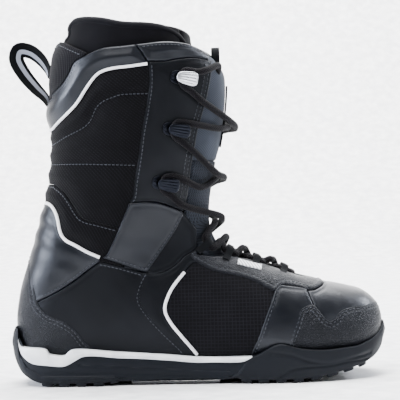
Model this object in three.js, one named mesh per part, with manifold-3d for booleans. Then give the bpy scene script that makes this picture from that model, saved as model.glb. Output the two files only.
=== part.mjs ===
// A laced snowboard boot for the right foot: lugged rubber sole, stitched shell, padded removable liner,
// tongue, speed hooks and one lace. Millimetres, +Z up, toes along +X, the outer side of the foot towards -Y.
// The origin is on the ground under the middle of the boot.
//
// The shell, the liner and everything that lies on them share one surface, the last. It is a row of ovals
// that fans from the toe, round the instep, up to the top of the cuff. Each oval runs from a point on the
// bottom or back profile to a point on the top or front profile. A panel is what a seam line, drawn in the
// side view and pushed straight through the boot, cuts out of the wall of the last.
import * as THREE from 'three';
import Module from 'manifold-3d';

// ---- Driving dimensions -------------------------------------------------------------------------------
const soleLength = 312;        // heel to toe, outside
const bootHeight = 299;        // ground to the rim of the liner
const footWidth = 104;         // shell across the ball of the foot
const cuffWidth = 116;         // shell across the top of the cuff
const soleMargin = 5;          // how far the sole stands out past the shell, all round
const shellWall = 3;           // thickness of the shell panels
const seamGap = 0.4;           // clearance between two pieces that meet
const tonguePad = 4;           // thickness of the shell tongue
const tongueInset = 4;         // how far the tongue's face lies below the cuff's face
const linerWall = 6;           // thickness of the liner
const linerGapFront = 7;       // room between the shell tongue and the liner tongue, for the lace ends
const boardThickness = 3;      // lasting board
const footbedThickness = 4;    // removable footbed
const shankThickness = 2.4;    // arch plate under the midsole
const lugDepth = 3;            // depth of the tread grooves
const laceDiameter = 5.5;      // round lace
const hookCapLength = 18;      // along the lace hook, front to back
const hookCapWidth = 13;       // up and down
const hookMetal = 1.6;         // thickness of the hook's strip
const hookNeck = 5;            // width of the neck that the lace goes round
const heelLoopWidth = 13;      // webbing of the heel loop
const tongueLoopWidth = 7;     // webbing of the loop on the tongue
const guideWidth = 5;          // webbing of the lace guides
const webbingThickness = 1.4;  // all webbing

// Proportions are drawn at this size and follow the driving dimensions.
const drawnLength = 312;
const drawnHeight = 299;
const drawnFootWidth = 104;
const lengthScale = soleLength / drawnLength;
const heightScale = bootHeight / drawnHeight;

const shellFacets = [22, 16];    // facets of the shell along the last, and round it
const linerFacets = [17, 12];    // and of the liner, which is out of sight

const wasm = await Module();
wasm.setup();

// ---- The last -----------------------------------------------------------------------------------------
// Each row: top or front point x, z; bottom or back point x, z; half width as a share of the ball's or the
// cuff's; sideways shift of the middle; where the oval is widest; squareness at the bottom, at the top.
const half = { foot: footWidth / 2, cuff: cuffWidth / 2 };
const lastRows = [
  [151.5, 41, 151.5, 39, 0, 7, 0.45, 0.6, 0.7],
  [150.5, 51, 150, 29.5, 0.29 * half.foot, 7, 0.45, 0.6, 0.7],
  [147, 60, 146, 25, 0.5 * half.foot, 7, 0.42, 0.55, 0.68],
  [138, 68, 137, 21.5, 0.71 * half.foot, 6.5, 0.38, 0.5, 0.66],
  [124, 72.5, 123, 19, 0.865 * half.foot, 5.5, 0.34, 0.45, 0.66],
  [105, 77, 103, 17, 0.96 * half.foot, 4, 0.3, 0.4, 0.66],
  [86, 81.5, 82, 16, half.foot, 2, 0.28, 0.38, 0.68],
  [66, 89.5, 52, 16, half.foot, 0, 0.28, 0.36, 0.72],
  [46, 98, 16, 17, 0.96 * half.foot, -1.5, 0.3, 0.35, 0.78],
  [31, 105, -24, 18, 0.91 * half.foot, -1.5, 0.33, 0.35, 0.85],
  [20, 114, -68, 19.5, 0.875 * half.foot, -1, 0.38, 0.36, 0.9],
  [14, 127, -112, 21, 0.86 * half.foot, -0.5, 0.43, 0.42, 0.9],
  [13, 139, -139, 25, 0.86 * half.foot, 0, 0.46, 0.46, 0.9],
  [14, 150, -149, 45, 0.78 * half.cuff, 0, 0.47, 0.62, 0.88],
  [16, 161, -147.5, 72, 0.81 * half.cuff, 0, 0.47, 0.85, 0.86],
  [19, 173, -139, 102, 0.845 * half.cuff, 0, 0.47, 0.85, 0.84],
  [22, 186, -129, 137, 0.88 * half.cuff, 0, 0.47, 0.85, 0.82],
  [25, 199, -122.5, 165, 0.915 * half.cuff, 0, 0.48, 0.85, 0.8],
  [28, 218, -119, 195, 0.95 * half.cuff, 0, 0.48, 0.85, 0.8],
  [30, 238, -120, 225, 0.98 * half.cuff, 0, 0.48, 0.85, 0.8],
  [29.5, 254, -119, 246, half.cuff, 0, 0.48, 0.85, 0.8],
  [23, 264.5, -117, 260, half.cuff, 0, 0.48, 0.85, 0.8],
  [16, 272, -115, 272, half.cuff, 0, 0.48, 0.85, 0.8],
  [14, 288, -111, 288, half.cuff, 0, 0.48, 0.85, 0.8],
  [14, 308, -109, 308, half.cuff, 0, 0.48, 0.85, 0.8],
].map(([fx, fz, bx, bz, ...rest]) => [
  fx * lengthScale, fz * heightScale, bx * lengthScale, bz * heightScale, ...rest,
]);
const ballX = 84 * lengthScale;
const toeX = lastRows[0][0];

// Distance along the last at each row: the mean of the steps along the two profiles.
const rowAt = [0];
for (let i = 1; i < lastRows.length; i++) {
  const [a, b] = [lastRows[i - 1], lastRows[i]];
  const step = (Math.hypot(b[0] - a[0], b[1] - a[1]) + Math.hypot(b[2] - a[2], b[3] - a[3])) / 2;
  rowAt.push(rowAt[i - 1] + step);
}
const lastLength = rowAt[rowAt.length - 1];

// A smooth curve through the rows: cubic Hermite pieces whose slopes are the neighbours' chords.
function lastRow(u) {
  let i = 0;
  while (i < rowAt.length - 2 && u > rowAt[i + 1]) i += 1;
  const span = rowAt[i + 1] - rowAt[i];
  const f = (u - rowAt[i]) / span;
  const slope = (k, channel) => {
    const lo = Math.max(k - 1, 0);
    const hi = Math.min(k + 1, rowAt.length - 1);
    return (lastRows[hi][channel] - lastRows[lo][channel]) / (rowAt[hi] - rowAt[lo]);
  };
  return lastRows[i].map((start, channel) => {
    const end = lastRows[i + 1][channel];
    const h00 = 2 * f ** 3 - 3 * f ** 2 + 1;
    const h10 = f ** 3 - 2 * f ** 2 + f;
    const h11 = f ** 3 - f ** 2;
    return h00 * start + (1 - h00) * end + span * (h10 * slope(i, channel) + h11 * slope(i + 1, channel));
  });
}

// A point of the last, u along it and angle round it: 0 at the bottom or back, pi at the top or front.
// side is -1 for the outer side of the foot and 1 for the inner side. inset moves the surface inwards.
function lastPoint(u, angle, side, inset = {}) {
  const { sides = 0, back = sides, front = sides } = inset;
  const [fx, fz, bx, bz, width, shift, widest, squareBack, squareFront] = lastRow(u);
  const chord = Math.hypot(fx - bx, fz - bz);
  const fade = Math.min(1, chord / (60 * heightScale));
  const [dx, dz] = chord > 0 ? [(fx - bx) / chord, (fz - bz) / chord] : [0, 0];
  const c = Math.cos(angle);
  const along = c > 0 ? widest * (1 - c) : widest - (1 - widest) * c;
  const squareness = squareBack + (squareFront - squareBack) * (1 - c) / 2;
  const innerWidth = width - sides * Math.min(1, width / half.foot);
  const reach = back * fade + (chord - (back + front) * fade) * along;
  const shrink = 1 - sides / (toeX - ballX);
  const x = bx + dx * reach;
  return new THREE.Vector3(
    x > ballX ? ballX + (x - ballX) * shrink : x,
    shift + side * innerWidth * Math.max(Math.sin(angle), 0) ** squareness,
    bz + dz * reach,
  );
}

// The point of the last seen at x, z in the side view, lifted off the surface.
function onLast(x, z, side, lift = 0) {
  const offside = (u) => {
    const [fx, fz, bx, bz] = lastRow(u);
    return (fx - bx) * (z - bz) - (fz - bz) * (x - bx);
  };
  let [lo, hi] = [rowAt[1], lastLength];
  for (let i = 0; i < 40; i++) {
    const mid = (lo + hi) / 2;
    if (offside(mid) > 0) lo = mid;
    else hi = mid;
  }
  const u = lo;
  const [fx, fz, bx, bz, , , widest] = lastRow(u);
  const along = ((x - bx) * (fx - bx) + (z - bz) * (fz - bz)) / ((fx - bx) ** 2 + (fz - bz) ** 2);
  const c = along < widest ? 1 - along / widest : (widest - along) / (1 - widest);
  const angle = Math.acos(Math.min(1, Math.max(-1, c)));
  return offLast(u, angle, side, lift);
}

// A point of the last and its outward normal, with the point lifted along the normal. On the middle line,
// where the two sides of the last meet, the normal has no sideways part.
function offLast(u, angle, side, lift) {
  const step = 0.01;
  const clear = Math.min(Math.max(angle, 0.05), Math.PI - 0.05);
  const alongU = lastPoint(u + 1, clear, side).sub(lastPoint(u - 1, clear, side));
  const alongAngle = lastPoint(u, clear + step, side).sub(lastPoint(u, clear - step, side));
  const normal = alongU.cross(alongAngle).multiplyScalar(side);
  if (clear !== angle) normal.setY(0);
  normal.normalize();
  return { point: lastPoint(u, angle, side).addScaledVector(normal, lift), normal };
}

// ---- Solids -------------------------------------------------------------------------------------------
// A closed solid from rings of points, each with as many points as the next, and a fan over each end.
function loft(rings) {
  const n = rings[0].length;
  const positions = rings.flat().flatMap((p) => [p.x, p.y, p.z]);
  const triangles = [];
  rings.slice(1).forEach((ring, r) => {
    for (let i = 0; i < n; i++) {
      const [a, b] = [r * n + i, r * n + ((i + 1) % n)];
      triangles.push(a, b, b + n, a, b + n, a + n);
    }
  });
  [[rings[0], 0, true], [rings[rings.length - 1], (rings.length - 1) * n, false]].forEach(([ring, at, first]) => {
    const middle = ring.reduce((sum, p) => sum.add(p), new THREE.Vector3()).divideScalar(n);
    const hub = positions.length / 3;
    positions.push(middle.x, middle.y, middle.z);
    for (let i = 0; i < n; i++) {
      const [a, b] = [at + i, at + ((i + 1) % n)];
      triangles.push(...(first ? [hub, b, a] : [hub, a, b]));
    }
  });
  return facingOut(positions, triangles);
}

function facingOut(positions, triangles) {
  const make = (triVerts) => {
    const mesh = new wasm.Mesh({ numProp: 3, vertProperties: new Float32Array(positions), triVerts });
    mesh.merge();
    return new wasm.Manifold(mesh);
  };
  const made = make(new Uint32Array(triangles));
  if (made.volume() > 0) return made;
  const turned = [];
  for (let i = 0; i < triangles.length; i += 3) turned.push(triangles[i], triangles[i + 2], triangles[i + 1]);
  return make(new Uint32Array(turned));
}

// A three.js geometry as a solid.
function solidOf(geometry) {
  const flat = geometry.index ? geometry.toNonIndexed() : geometry;
  const positions = Array.from(flat.getAttribute('position').array);
  return facingOut(positions, positions.filter((_, i) => i % 3 === 0).map((_, i) => i));
}

function union(solids) {
  return solids.reduce((sum, s) => sum.add(s));
}

// The filled last, from the toe to the top, moved inwards by inset.
function lastVolume(inset, [sections, around] = shellFacets) {
  const rings = [];
  for (let j = 1; j <= sections; j++) {
    const f = j / sections;
    const u = rowAt[1] * 0.5 + (lastLength - rowAt[1] * 0.5) * (0.35 * f * f + 0.65 * f);
    const ring = [];
    for (let i = 0; i < around; i++) {
      const angle = (2 * Math.PI * (i + 0.5)) / around;
      const side = angle < Math.PI ? -1 : 1;
      ring.push(lastPoint(u, side < 0 ? angle : 2 * Math.PI - angle, side, inset));
    }
    rings.push(ring);
  }
  return loft(rings);
}

// A closed outline in the side view, smooth or straight, pushed through the boot along Y.
function throughSide(points, width = 400) {
  const shape = new THREE.Shape(points.map(([x, z]) => new THREE.Vector2(x, z)));
  const geometry = new THREE.ExtrudeGeometry(shape, { depth: width, bevelEnabled: false });
  geometry.rotateX(Math.PI / 2);
  geometry.translate(0, width / 2, 0);
  return solidOf(geometry);
}

// A closed outline in plan, pushed up from one height to another.
function throughPlan(points, low, high) {
  const shape = new THREE.Shape(points.map(([x, y]) => new THREE.Vector2(x, y)));
  const geometry = new THREE.ExtrudeGeometry(shape, { depth: high - low, bevelEnabled: false });
  geometry.translate(0, 0, low);
  return solidOf(geometry);
}

// A seam line of the drawing at the boot's own size, rounded off with a smooth curve.
function seam(points, pieces = 1) {
  const scaled = points.map(([x, z]) => new THREE.Vector2(x * lengthScale, z * heightScale));
  if (points.length < 3) return scaled.map((p) => [p.x, p.y]);
  const curve = new THREE.SplineCurve(scaled);
  return curve.getPoints((points.length - 1) * pieces).map((p) => [p.x, p.y]);
}

function straight(points) {
  return points.map(([x, z]) => [x * lengthScale, z * heightScale]);
}

// An outline pushed outwards by a distance, each corner along the mean of its two edges' normals.
function grown(points, distance) {
  const area = points.reduce((sum, [x, z], i) => {
    const [nx, nz] = points[(i + 1) % points.length];
    return sum + x * nz - nx * z;
  }, 0);
  const turn = area > 0 ? 1 : -1;
  const cleaned = points.filter(([x, z], i) => {
    const [px, pz] = points[(i + points.length - 1) % points.length];
    return Math.hypot(x - px, z - pz) > 0.05;
  });
  return cleaned.map(([x, z], i) => {
    const [ax, az] = cleaned[(i + cleaned.length - 1) % cleaned.length];
    const [bx, bz] = cleaned[(i + 1) % cleaned.length];
    const before = new THREE.Vector2(z - az, ax - x).normalize();
    const after = new THREE.Vector2(bz - z, x - bx).normalize();
    const mean = before.clone().add(after).normalize();
    const reach = distance / Math.max(mean.dot(after), 0.5);
    return [x + turn * mean.x * reach, z + turn * mean.y * reach];
  });
}

const farSide = 300;
const outerHalf = throughPlan([[-farSide, -farSide], [farSide, -farSide], [farSide, 0], [-farSide, 0]], -50, 500);

// A flat strip along stations that give its middle, the way across it and the way through it.
function strip(stations, width, thickness) {
  return loft(stations.map(({ point, across, through }) => [[1, 1], [-1, 1], [-1, -1], [1, -1]].map(([a, b]) => (
    point.clone().addScaledVector(across, a * width / 2).addScaledVector(through, b * thickness / 2)
  ))));
}

// A round cord with a ring of corners at each of its points.
function cord(points, diameter, corners) {
  const path = new THREE.CatmullRomCurve3(points, false, 'centripetal');
  const rings = [];
  const across = new THREE.Vector3(0, 0, 1);
  points.forEach((point, i) => {
    const tangent = path.getTangent(i / (points.length - 1));
    across.addScaledVector(tangent, -across.dot(tangent)).normalize();
    const through = tangent.clone().cross(across);
    rings.push(Array.from({ length: corners }, (_, k) => {
      const a = (2 * Math.PI * k) / corners;
      return point.clone()
        .addScaledVector(across, Math.cos(a) * diameter / 2)
        .addScaledVector(through, Math.sin(a) * diameter / 2);
    }));
  });
  return loft(rings);
}

// ---- The parts list -----------------------------------------------------------------------------------
const finishes = {
  rubber: { color: 0x23262c, roughness: 0.75 },
  foam_white: { color: 0xdfe3ea, roughness: 0.6 },
  foam_black: { color: 0x1f242c, roughness: 0.7 },
  leather_smooth: { color: 0x2c3038, roughness: 0.4 },
  leather_grained: { color: 0x25272d, roughness: 0.65 },
  nubuck: { color: 0x1b1f26, roughness: 0.8 },
  mesh_fabric: { color: 0x17171d, roughness: 0.95 },
  woven_fabric: { color: 0x3d424b, roughness: 0.9 },
  liner_fabric: { color: 0x1c1b21, roughness: 0.95 },
  webbing: { color: 0x15161a, roughness: 0.9 },
  lace: { color: 0x1d1b20, roughness: 0.9 },
  hook_dark: { color: 0x2b2e34, roughness: 0.35, metalness: 0.8 },
  hook_silver: { color: 0xc9cbd2, roughness: 0.35, metalness: 0.9 },
  board: { color: 0x8a7f6c, roughness: 0.9 },
};

const boot = new THREE.Group();

// Only the largest body of a cut solid is kept, so that slivers at the ends of a seam fall away.
function add(name, solid, finish) {
  const mesh = solid.decompose().reduce((best, s) => (s.volume() > best.volume() ? s : best)).getMesh();
  const positions = new Float32Array(mesh.numVert * 3);
  for (let i = 0; i < mesh.numVert; i++) {
    positions.set(mesh.vertProperties.subarray(i * mesh.numProp, i * mesh.numProp + 3), i * 3);
  }
  const geometry = new THREE.BufferGeometry();
  geometry.setAttribute('position', new THREE.BufferAttribute(positions, 3));
  geometry.setIndex(new THREE.BufferAttribute(new Uint32Array(mesh.triVerts), 1));
  geometry.computeVertexNormals();
  const made = new THREE.Mesh(geometry, new THREE.MeshStandardMaterial(finishes[finish]));
  made.name = name;
  boot.add(made);
}

function addPair(name, solid, finish) {
  add(`${name}_outer`, solid.intersect(outerHalf), finish);
  add(`${name}_inner`, solid.subtract(outerHalf), finish);
}

// ---- Seam lines in the side view ----------------------------------------------------------------------
const line = {
  soleTopToe: [[40, 21], [47, 23], [54, 27], [60, 30], [67, 31], [77, 28], [88, 26], [102, 25], [118, 26],
    [129, 27], [140, 31], [147, 35.5], [151, 40], [154, 44]],
  toeProfile: [[154, 44], [156, 38], [156, 33], [153, 28], [150, 21], [144, 15], [134, 10], [123, 7],
    [110, 4], [101, 2], [91, 0.8], [80, 0]],
  heelProfile: [[-127, 0], [-133, 1], [-140, 4], [-147, 9], [-152, 17], [-155, 25], [-156, 34], [-155.5, 41],
    [-152, 48]],
  frameTop: [[-150, 40], [-148, 34], [-144, 32], [-127, 31], [-123, 27], [-121, 26], [-111, 25], [-107, 28],
    [-103, 30], [-92, 30], [-75, 28], [-50, 26], [-25, 24], [-4, 22], [13, 21.5], [42, 21.5]],
  frameBottom: [[42, 21], [33, 17], [12, 17], [-4, 17], [-25, 19], [-50, 21], [-67, 22], [-84, 24], [-94, 24],
    [-99, 22], [-107, 17.5], [-113, 16], [-126, 17], [-136, 18], [-142, 21], [-147, 26], [-149, 32]],
  toeCapTop: [[70, 30], [73, 39], [77, 48], [80, 56], [83, 59], [87, 60.5], [93, 61], [97, 57], [102, 50.5],
    [106, 48], [110, 50], [114, 55], [124, 58], [136, 58.5], [146, 60], [160, 61]],
  strapRear: [[40, 18], [43, 28], [48, 38], [53, 51], [59, 66], [62, 74]],
  stayLower: [[-7, 104], [-4, 100], [2, 96], [14, 90], [35, 85], [48, 80], [61, 73], [66, 76], [70, 77],
    [76, 76], [83, 74], [89, 72], [95, 72], [102, 75], [107, 79]],
  stayUpper: [[107, 95], [60, 110], [30, 122], [23, 112], [18, 110.5], [11, 111], [5, 111], [-2, 108],
    [-7, 104]],
  quarterFront: [[-5, 97], [-11, 90], [-19, 81], [-24, 73], [-27, 65], [-28, 61], [-26, 55], [-21, 47],
    [-12, 36], [-4, 26], [3, 16]],
  midfootRear: [[-44, 91], [-48, 84], [-51, 76], [-52, 69], [-49, 61], [-41, 50], [-29, 37], [-18, 26],
    [-12, 16]],
  quarterTop: [[-79, 101], [-63, 97], [-46, 91.5], [-41, 91]],
  quarterRear: [[-79, 101], [-89, 94], [-100, 86], [-113, 78], [-127, 71]],
  counterTop: [[-170, 110], [-137, 109], [-134, 101], [-133, 92], [-132, 79], [-131, 69], [-127, 63],
    [-121, 58], [-111, 54], [-103, 49], [-98, 44], [-93, 37], [-86, 29], [-80, 16]],
  ankleRear: [[-170, 149], [-127, 149], [-122, 149], [-118, 147], [-114, 141], [-112, 133], [-111, 126],
    [-107, 119], [-99, 115], [-89, 109], [-79, 104.5]],
  gussetBottom: [[-41, 91], [-37, 89.5], [-32, 90], [-23, 93], [-16, 98], [-11, 103], [-7, 105]],
  gussetFront: [[-7, 105], [-2, 108], [5, 111], [10, 112], [5, 118], [2, 122], [-6, 133], [-11, 139]],
  flapBottom: [[-77, 104], [-61, 98], [-46, 92.5], [-41, 91.5]],
  flapFront: [[-41, 91.5], [-39, 94], [-28, 109], [-17, 125], [-11, 137]],
  flapTop: [[-11, 139], [-16, 142], [-33, 148], [-54, 148]],
  facingFront: [[-11, 139], [-7, 152], [-5, 164], [-3, 177], [0, 191], [3, 205], [7, 218], [11, 231],
    [15, 250], [16, 262]],
  facingRear: [[-35, 261], [-35, 243], [-38, 224], [-42, 205], [-45, 186], [-49, 166], [-51, 153],
    [-54, 148], [-63, 127], [-73, 107], [-77, 104]],
  collarFrontLower: [[-36, 261], [-23, 261], [-10, 263], [2, 264], [13, 262]],
  collarTop: [[13, 262], [14, 266], [12, 269], [4, 273], [-6, 276], [-22, 277], [-42, 275], [-54, 274],
    [-70, 273], [-80, 270], [-87, 267]],
  collarRearTop: [[-87, 267], [-95, 263], [-100, 254], [-106, 246], [-115, 239], [-119, 235], [-150, 235]],
  collarLower: [[-150, 210], [-119, 210], [-112, 214], [-103, 221], [-94, 229], [-87, 239], [-81, 247],
    [-75, 253], [-65, 256], [-54, 257], [-44, 258], [-36, 259]],
  gussetRim: [[-87, 267], [-86, 270], [-97, 276], [-104, 280], [-109, 282], [-113, 281], [-150, 281]],
  cuffSeam: [[-170, 167], [-122, 165], [-113, 162], [-106, 156], [-100, 147], [-95, 139], [-90, 135],
    [-79, 132], [-62, 127]],
  tongueTop: [[60, 261], [26, 262], [20, 267], [14, 270], [13, 264]],
  linerRim: [[-125, 282], [-105, 286], [-104, 293], [-101, 298], [-93, 299], [-73, 297], [-51, 293],
    [-26, 292], [-9, 290], [2, 286], [9, 280], [13, 274], [60, 268]],
};

// ---- Sole ---------------------------------------------------------------------------------------------
// The line where the shell meets the sole, and the heights above it that stack up inside the boot.
const feather = [[-160, 22], [-139, 22], [-112, 21], [-68, 19.5], [-24, 18], [16, 17], [52, 16], [82, 16],
  [103, 17], [123, 19], [137, 21.5], [146, 25], [160, 32]];
const boardBottom = 2 * seamGap;
const shellBottom = boardBottom + boardThickness + seamGap;
const footbedBottom = shellBottom + linerWall + seamGap;
const featherAt = (rise) => straight(feather).map(([x, z]) => [x, z + rise]);

function solePlan() {
  const halfPlan = [[-151, 0], [-150.3, 11], [-146.5, 20], [-138, 29.5], [-121, 36.5], [-92, 39.5], [-50, 38.5],
    [-10, 40], [30, 45.5], [60, 50.5], [85, 52.5], [106, 50], [125, 43.5], [139, 32], [147, 19], [150, 9], [151, 0]];
  const toeShift = 7;       // the toes lie towards the inner side
  const waistShift = 1.5;   // and the waist a little towards the outer side
  const middle = (x) => toeShift * THREE.MathUtils.smoothstep(x, 40, 145)
    - waistShift * Math.exp(-(((x - 30) / 45) ** 2));
  const edge = (side) => new THREE.SplineCurve(halfPlan.map(([x, y]) => new THREE.Vector2(
    (x + Math.sign(x) * soleMargin * (1 - y / 60)) * lengthScale,
    middle(x) + side * (y > 0 ? y * footWidth / drawnFootWidth + soleMargin : 0),
  ))).getPoints(22).map((p) => [p.x, p.y]);
  return [...edge(-1), ...edge(1).reverse().slice(1, -1)];
}

// Tread: grooves straight across the sole, at these places along it, as deep as the lugs are high.
const grooveWidth = 4.5;
const heelGrooves = [-118, -104, -90, -76];
const ballGrooves = [44, 58, 72, 86];
const toeGrooves = [100, 114, 127];

function treaded(solid, grooves) {
  const profile = seam(line.toeProfile);
  const groundAt = (x) => profile.reduce((low, [px, pz]) => (Math.abs(px - x) < 7 ? Math.min(low, pz) : low), 60);
  return grooves.reduce((left, place) => {
    const x = place * lengthScale;
    const z = place > ballGrooves[3] ? groundAt(x) : 0;
    return left.subtract(throughSide([[x - grooveWidth / 2, z - 4], [x + grooveWidth / 2, z - 4],
      [x + grooveWidth * 0.4, z + lugDepth], [x - grooveWidth * 0.4, z + lugDepth]]));
  }, solid);
}

function buildSole() {
  const cavity = lastVolume({ sides: -seamGap });
  const plan = throughPlan(solePlan(), -1, 60 * heightScale).subtract(cavity);
  const cut = (outline) => plan.intersect(throughSide(outline));
  const room = (outline) => throughSide(grown(outline, seamGap));
  const archHeight = 3.4;

  const frame = [...seam(line.frameTop), ...seam(line.frameBottom)];
  const heel = [...seam(line.heelProfile), ...straight([[-149.5, 46], [-149.6, 40], [-149.5, 32],
    [-148, 25], [-142, 16], [-130, 9.5], [-70, 8.5], [-62, archHeight], [-70, 1.5], [-78, 0]])];
  const forefoot = [...seam(line.toeProfile), ...straight([[40, 0], [30, 1.5], [22, archHeight], [30, 9]]),
    ...seam(line.soleTopToe)];
  const arch = [[-56, 1.2], [-48, 0.6], [8, 0.6], [16, 1.2]].map(([x, z]) => [x * lengthScale, z]);
  const plate = [...arch, ...arch.map(([x, z]) => [x, z + shankThickness]).reverse()];
  const midsole = straight([[-148.6, 45], [-150.5, 24], [-140, 8], [-128, 3], [20, 3], [60, 8], [60, 32],
    [42, 22], [-100, 34], [-144, 36]]);

  add('midsole_frame', cut(frame), 'foam_white');
  add('outsole_heel', treaded(cut(heel), heelGrooves).subtract(room(frame)), 'rubber');
  add('outsole_forefoot', treaded(cut(forefoot), [...ballGrooves, ...toeGrooves]).subtract(room(frame)), 'rubber');
  add('midsole', [frame, heel, forefoot, plate].reduce((left, outline) => left.subtract(room(outline)),
    cut(midsole)), 'foam_black');
  add('arch_plate', cut(plate), 'hook_dark');

  const board = throughSide([...featherAt(boardBottom), ...featherAt(boardBottom + boardThickness).reverse()]);
  add('lasting_board', lastVolume({ sides: seamGap }).intersect(board), 'board');
}

// ---- Shell --------------------------------------------------------------------------------------------
const underfoot = throughSide([...featherAt(shellBottom), [farSide, -farSide], [-farSide, -farSide]]);
const shell = lastVolume({}).subtract(lastVolume({ sides: shellWall })).subtract(underfoot);

// The throat is the opening down the instep that the tongue and the lace fill, drawn in plan.
const throatHalf = [[88, 0], [86, 7], [78, 12], [60, 16], [40, 20], [24, 24.5], [12, 29.5], [0, 33]];
const throat = straight([...throatHalf, ...throatHalf.slice(1).reverse().map(([x, y]) => [x, -y])]);

// Each panel: its name, whether it is a pair, its finish and its outline. A panel lies over those below it.
const panels = [
  ['toe_cap', false, 'leather_grained', [...seam(line.toeCapTop), ...straight([[170, 0], [70, 0]])]],
  ['vamp', false, 'leather_smooth', straight([[89, 72], [93, 61], [93, 40], [170, 40], [170, 100],
    [107, 100], [107, 79], [102, 75], [95, 72]])],
  ['eyelet_stay', false, 'leather_grained', [...seam(line.stayLower), ...seam(line.stayUpper)]],
  ['forefoot_strap', true, 'leather_smooth', [...seam(line.strapRear), ...straight([[66, 78], [89, 74],
    [94, 60], [94, 10]])]],
  ['heel_counter', false, 'leather_grained', [...seam(line.counterTop), ...straight([[-170, 10]])]],
  ['quarter_mesh', true, 'mesh_fabric', [...seam(line.quarterFront), ...straight([[64, 12], [64, 82],
    [10, 100]])]],
  ['midfoot_panel', true, 'nubuck', [...seam(line.midfootRear), ...straight([[10, 12], [10, 106], [-6, 106]]),
    ...seam(line.gussetBottom).reverse()]],
  ['heel_quarter', true, 'nubuck', [...seam(line.quarterTop), ...straight([[-10, 88], [-10, 12], [-150, 12],
    [-150, 60]]), ...seam(line.quarterRear).reverse()]],
  ['ankle_wrap', false, 'leather_smooth', [...seam(line.ankleRear), ...straight([[-79, 60], [-170, 60]])]],
  ['ankle_flap', true, 'leather_smooth', [...seam(line.flapBottom), ...seam(line.flapFront),
    ...seam(line.flapTop), ...straight([[-63, 127], [-73, 107]])]],
  ['ankle_gusset', true, 'nubuck', [...seam(line.gussetBottom), ...seam(line.gussetFront),
    ...straight([[-50, 130], [-60, 95]])]],
  ['collar_front', true, 'leather_smooth', [...seam(line.collarFrontLower), ...seam(line.collarTop).slice(0, 7),
    ...straight([[-45, 275], [-40, 268]])]],
  ['collar_rear', false, 'leather_smooth', [...seam(line.collarLower), ...straight([[-36, 262], [-42, 275]]),
    ...seam(line.collarTop).slice(7), ...seam(line.collarRearTop)]],
  ['collar_gusset', false, 'mesh_fabric', [...seam(line.collarRearTop), ...seam(line.gussetRim).reverse()]],
  ['cuff_facing', true, 'nubuck', [...seam(line.facingFront), ...straight([[-20, 270]]),
    ...seam(line.facingRear).slice(0, 8), ...seam(line.flapTop).reverse()]],
  ['cuff_flex_panel', false, 'mesh_fabric', [...seam(line.cuffSeam), ...straight([[-50, 120], [-60, 90],
    [-100, 90], [-170, 140]])]],
  ['cuff_body', false, 'mesh_fabric', straight([[-170, 240], [-30, 262], [-20, 240], [-45, 140], [-60, 110],
    [-100, 120], [-170, 150]])],
];

const besideLace = ['cuff_facing', 'eyelet_stay', 'ankle_flap', 'ankle_gusset', 'vamp'];

function buildShell() {
  let left = shell.subtract(throughPlan(throat, 60 * heightScale, 128 * heightScale));
  panels.forEach(([name, pair, finish, outline]) => {
    let panel = left.intersect(throughSide(outline));
    left = left.subtract(throughSide(grown(outline, seamGap)));
    if (name === 'cuff_facing') panel = panel.subtract(union(hookPlaces.map((hook) => hook.rivetHole)));
    if (besideLace.includes(name)) panel = panel.subtract(laceRoom);
    if (pair) addPair(name, panel, finish);
    else add(name, panel, finish);
  });
}

// ---- Tongue -------------------------------------------------------------------------------------------
const tongueFace = { front: tongueInset, sides: shellWall + seamGap };
const tongueBack = { front: tongueInset + tonguePad, sides: shellWall + seamGap + 2 };
const tongueSplit = 181;       // height of the seam between the tongue's two panels
const tongueFoot = 76;         // where the tongue is sewn in under the vamp

function buildTongue() {
  const layer = lastVolume(tongueFace).subtract(lastVolume(tongueBack)).subtract(underfoot);
  const upper = throughSide([...straight([[-1, tongueSplit + seamGap], [60, tongueSplit + seamGap]]),
    ...seam(line.tongueTop), ...seam(line.facingFront).reverse().slice(0, 6)]);
  const lower = throughSide(straight([[-1, tongueSplit], [60, tongueSplit], [95, 100], [95, tongueFoot],
    [60, tongueFoot - 2], [40, 80], [16, 96], [0, 112], [-9, 137], [-5, 160]]));
  const reach = straight([[92, 14], [60, 26], [30, 34], [-30, 60], [-30, -60], [30, -34], [60, -26], [92, -14]]);
  add('tongue_upper', layer.intersect(upper).subtract(laceTailRoom), 'woven_fabric');
  add('tongue_lower', layer.intersect(lower).intersect(throughPlan(reach, 0, 2 * bootHeight)).subtract(laceRoom),
    'mesh_fabric');
  add('tongue_keeper', strip(keeperStations(), keeperWidth, webbingThickness), 'webbing');
  add('tongue_loop', strip(tongueLoopStations(), tongueLoopWidth, webbingThickness), 'webbing');
}

// A strip down the middle of the tongue, which the lace lies on.
const keeperWidth = 15;
function keeperStations() {
  return [194, 204, 218, 232, 243].map((z) => {
    const { point, normal } = onFront(z, 0, webbingThickness / 2 + seamGap - tongueInset);
    return { point, across: new THREE.Vector3(0, 1, 0), through: normal };
  });
}

// The pull loop that stands on the tongue's top edge, from one side of the middle to the other.
function tongueLoopStations() {
  const [x, z] = seam([line.tongueTop[2], line.tongueTop[2]])[0];
  const arch = [[11, 0], [11, 6], [8, 10.5], [3, 13], [-3, 13], [-8, 10.5], [-11, 6], [-11, 0]];
  return arch.map(([y, rise], i) => {
    const [nextY, nextRise] = arch[Math.min(i + 1, arch.length - 1)];
    const [lastY, lastRise] = arch[Math.max(i - 1, 0)];
    return {
      point: new THREE.Vector3(x - 0.5, y, z + 5 * seamGap + rise),
      across: new THREE.Vector3(1, 0, 0),
      through: new THREE.Vector3(0, nextRise - lastRise, lastY - nextY).normalize(),
    };
  });
}

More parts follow.
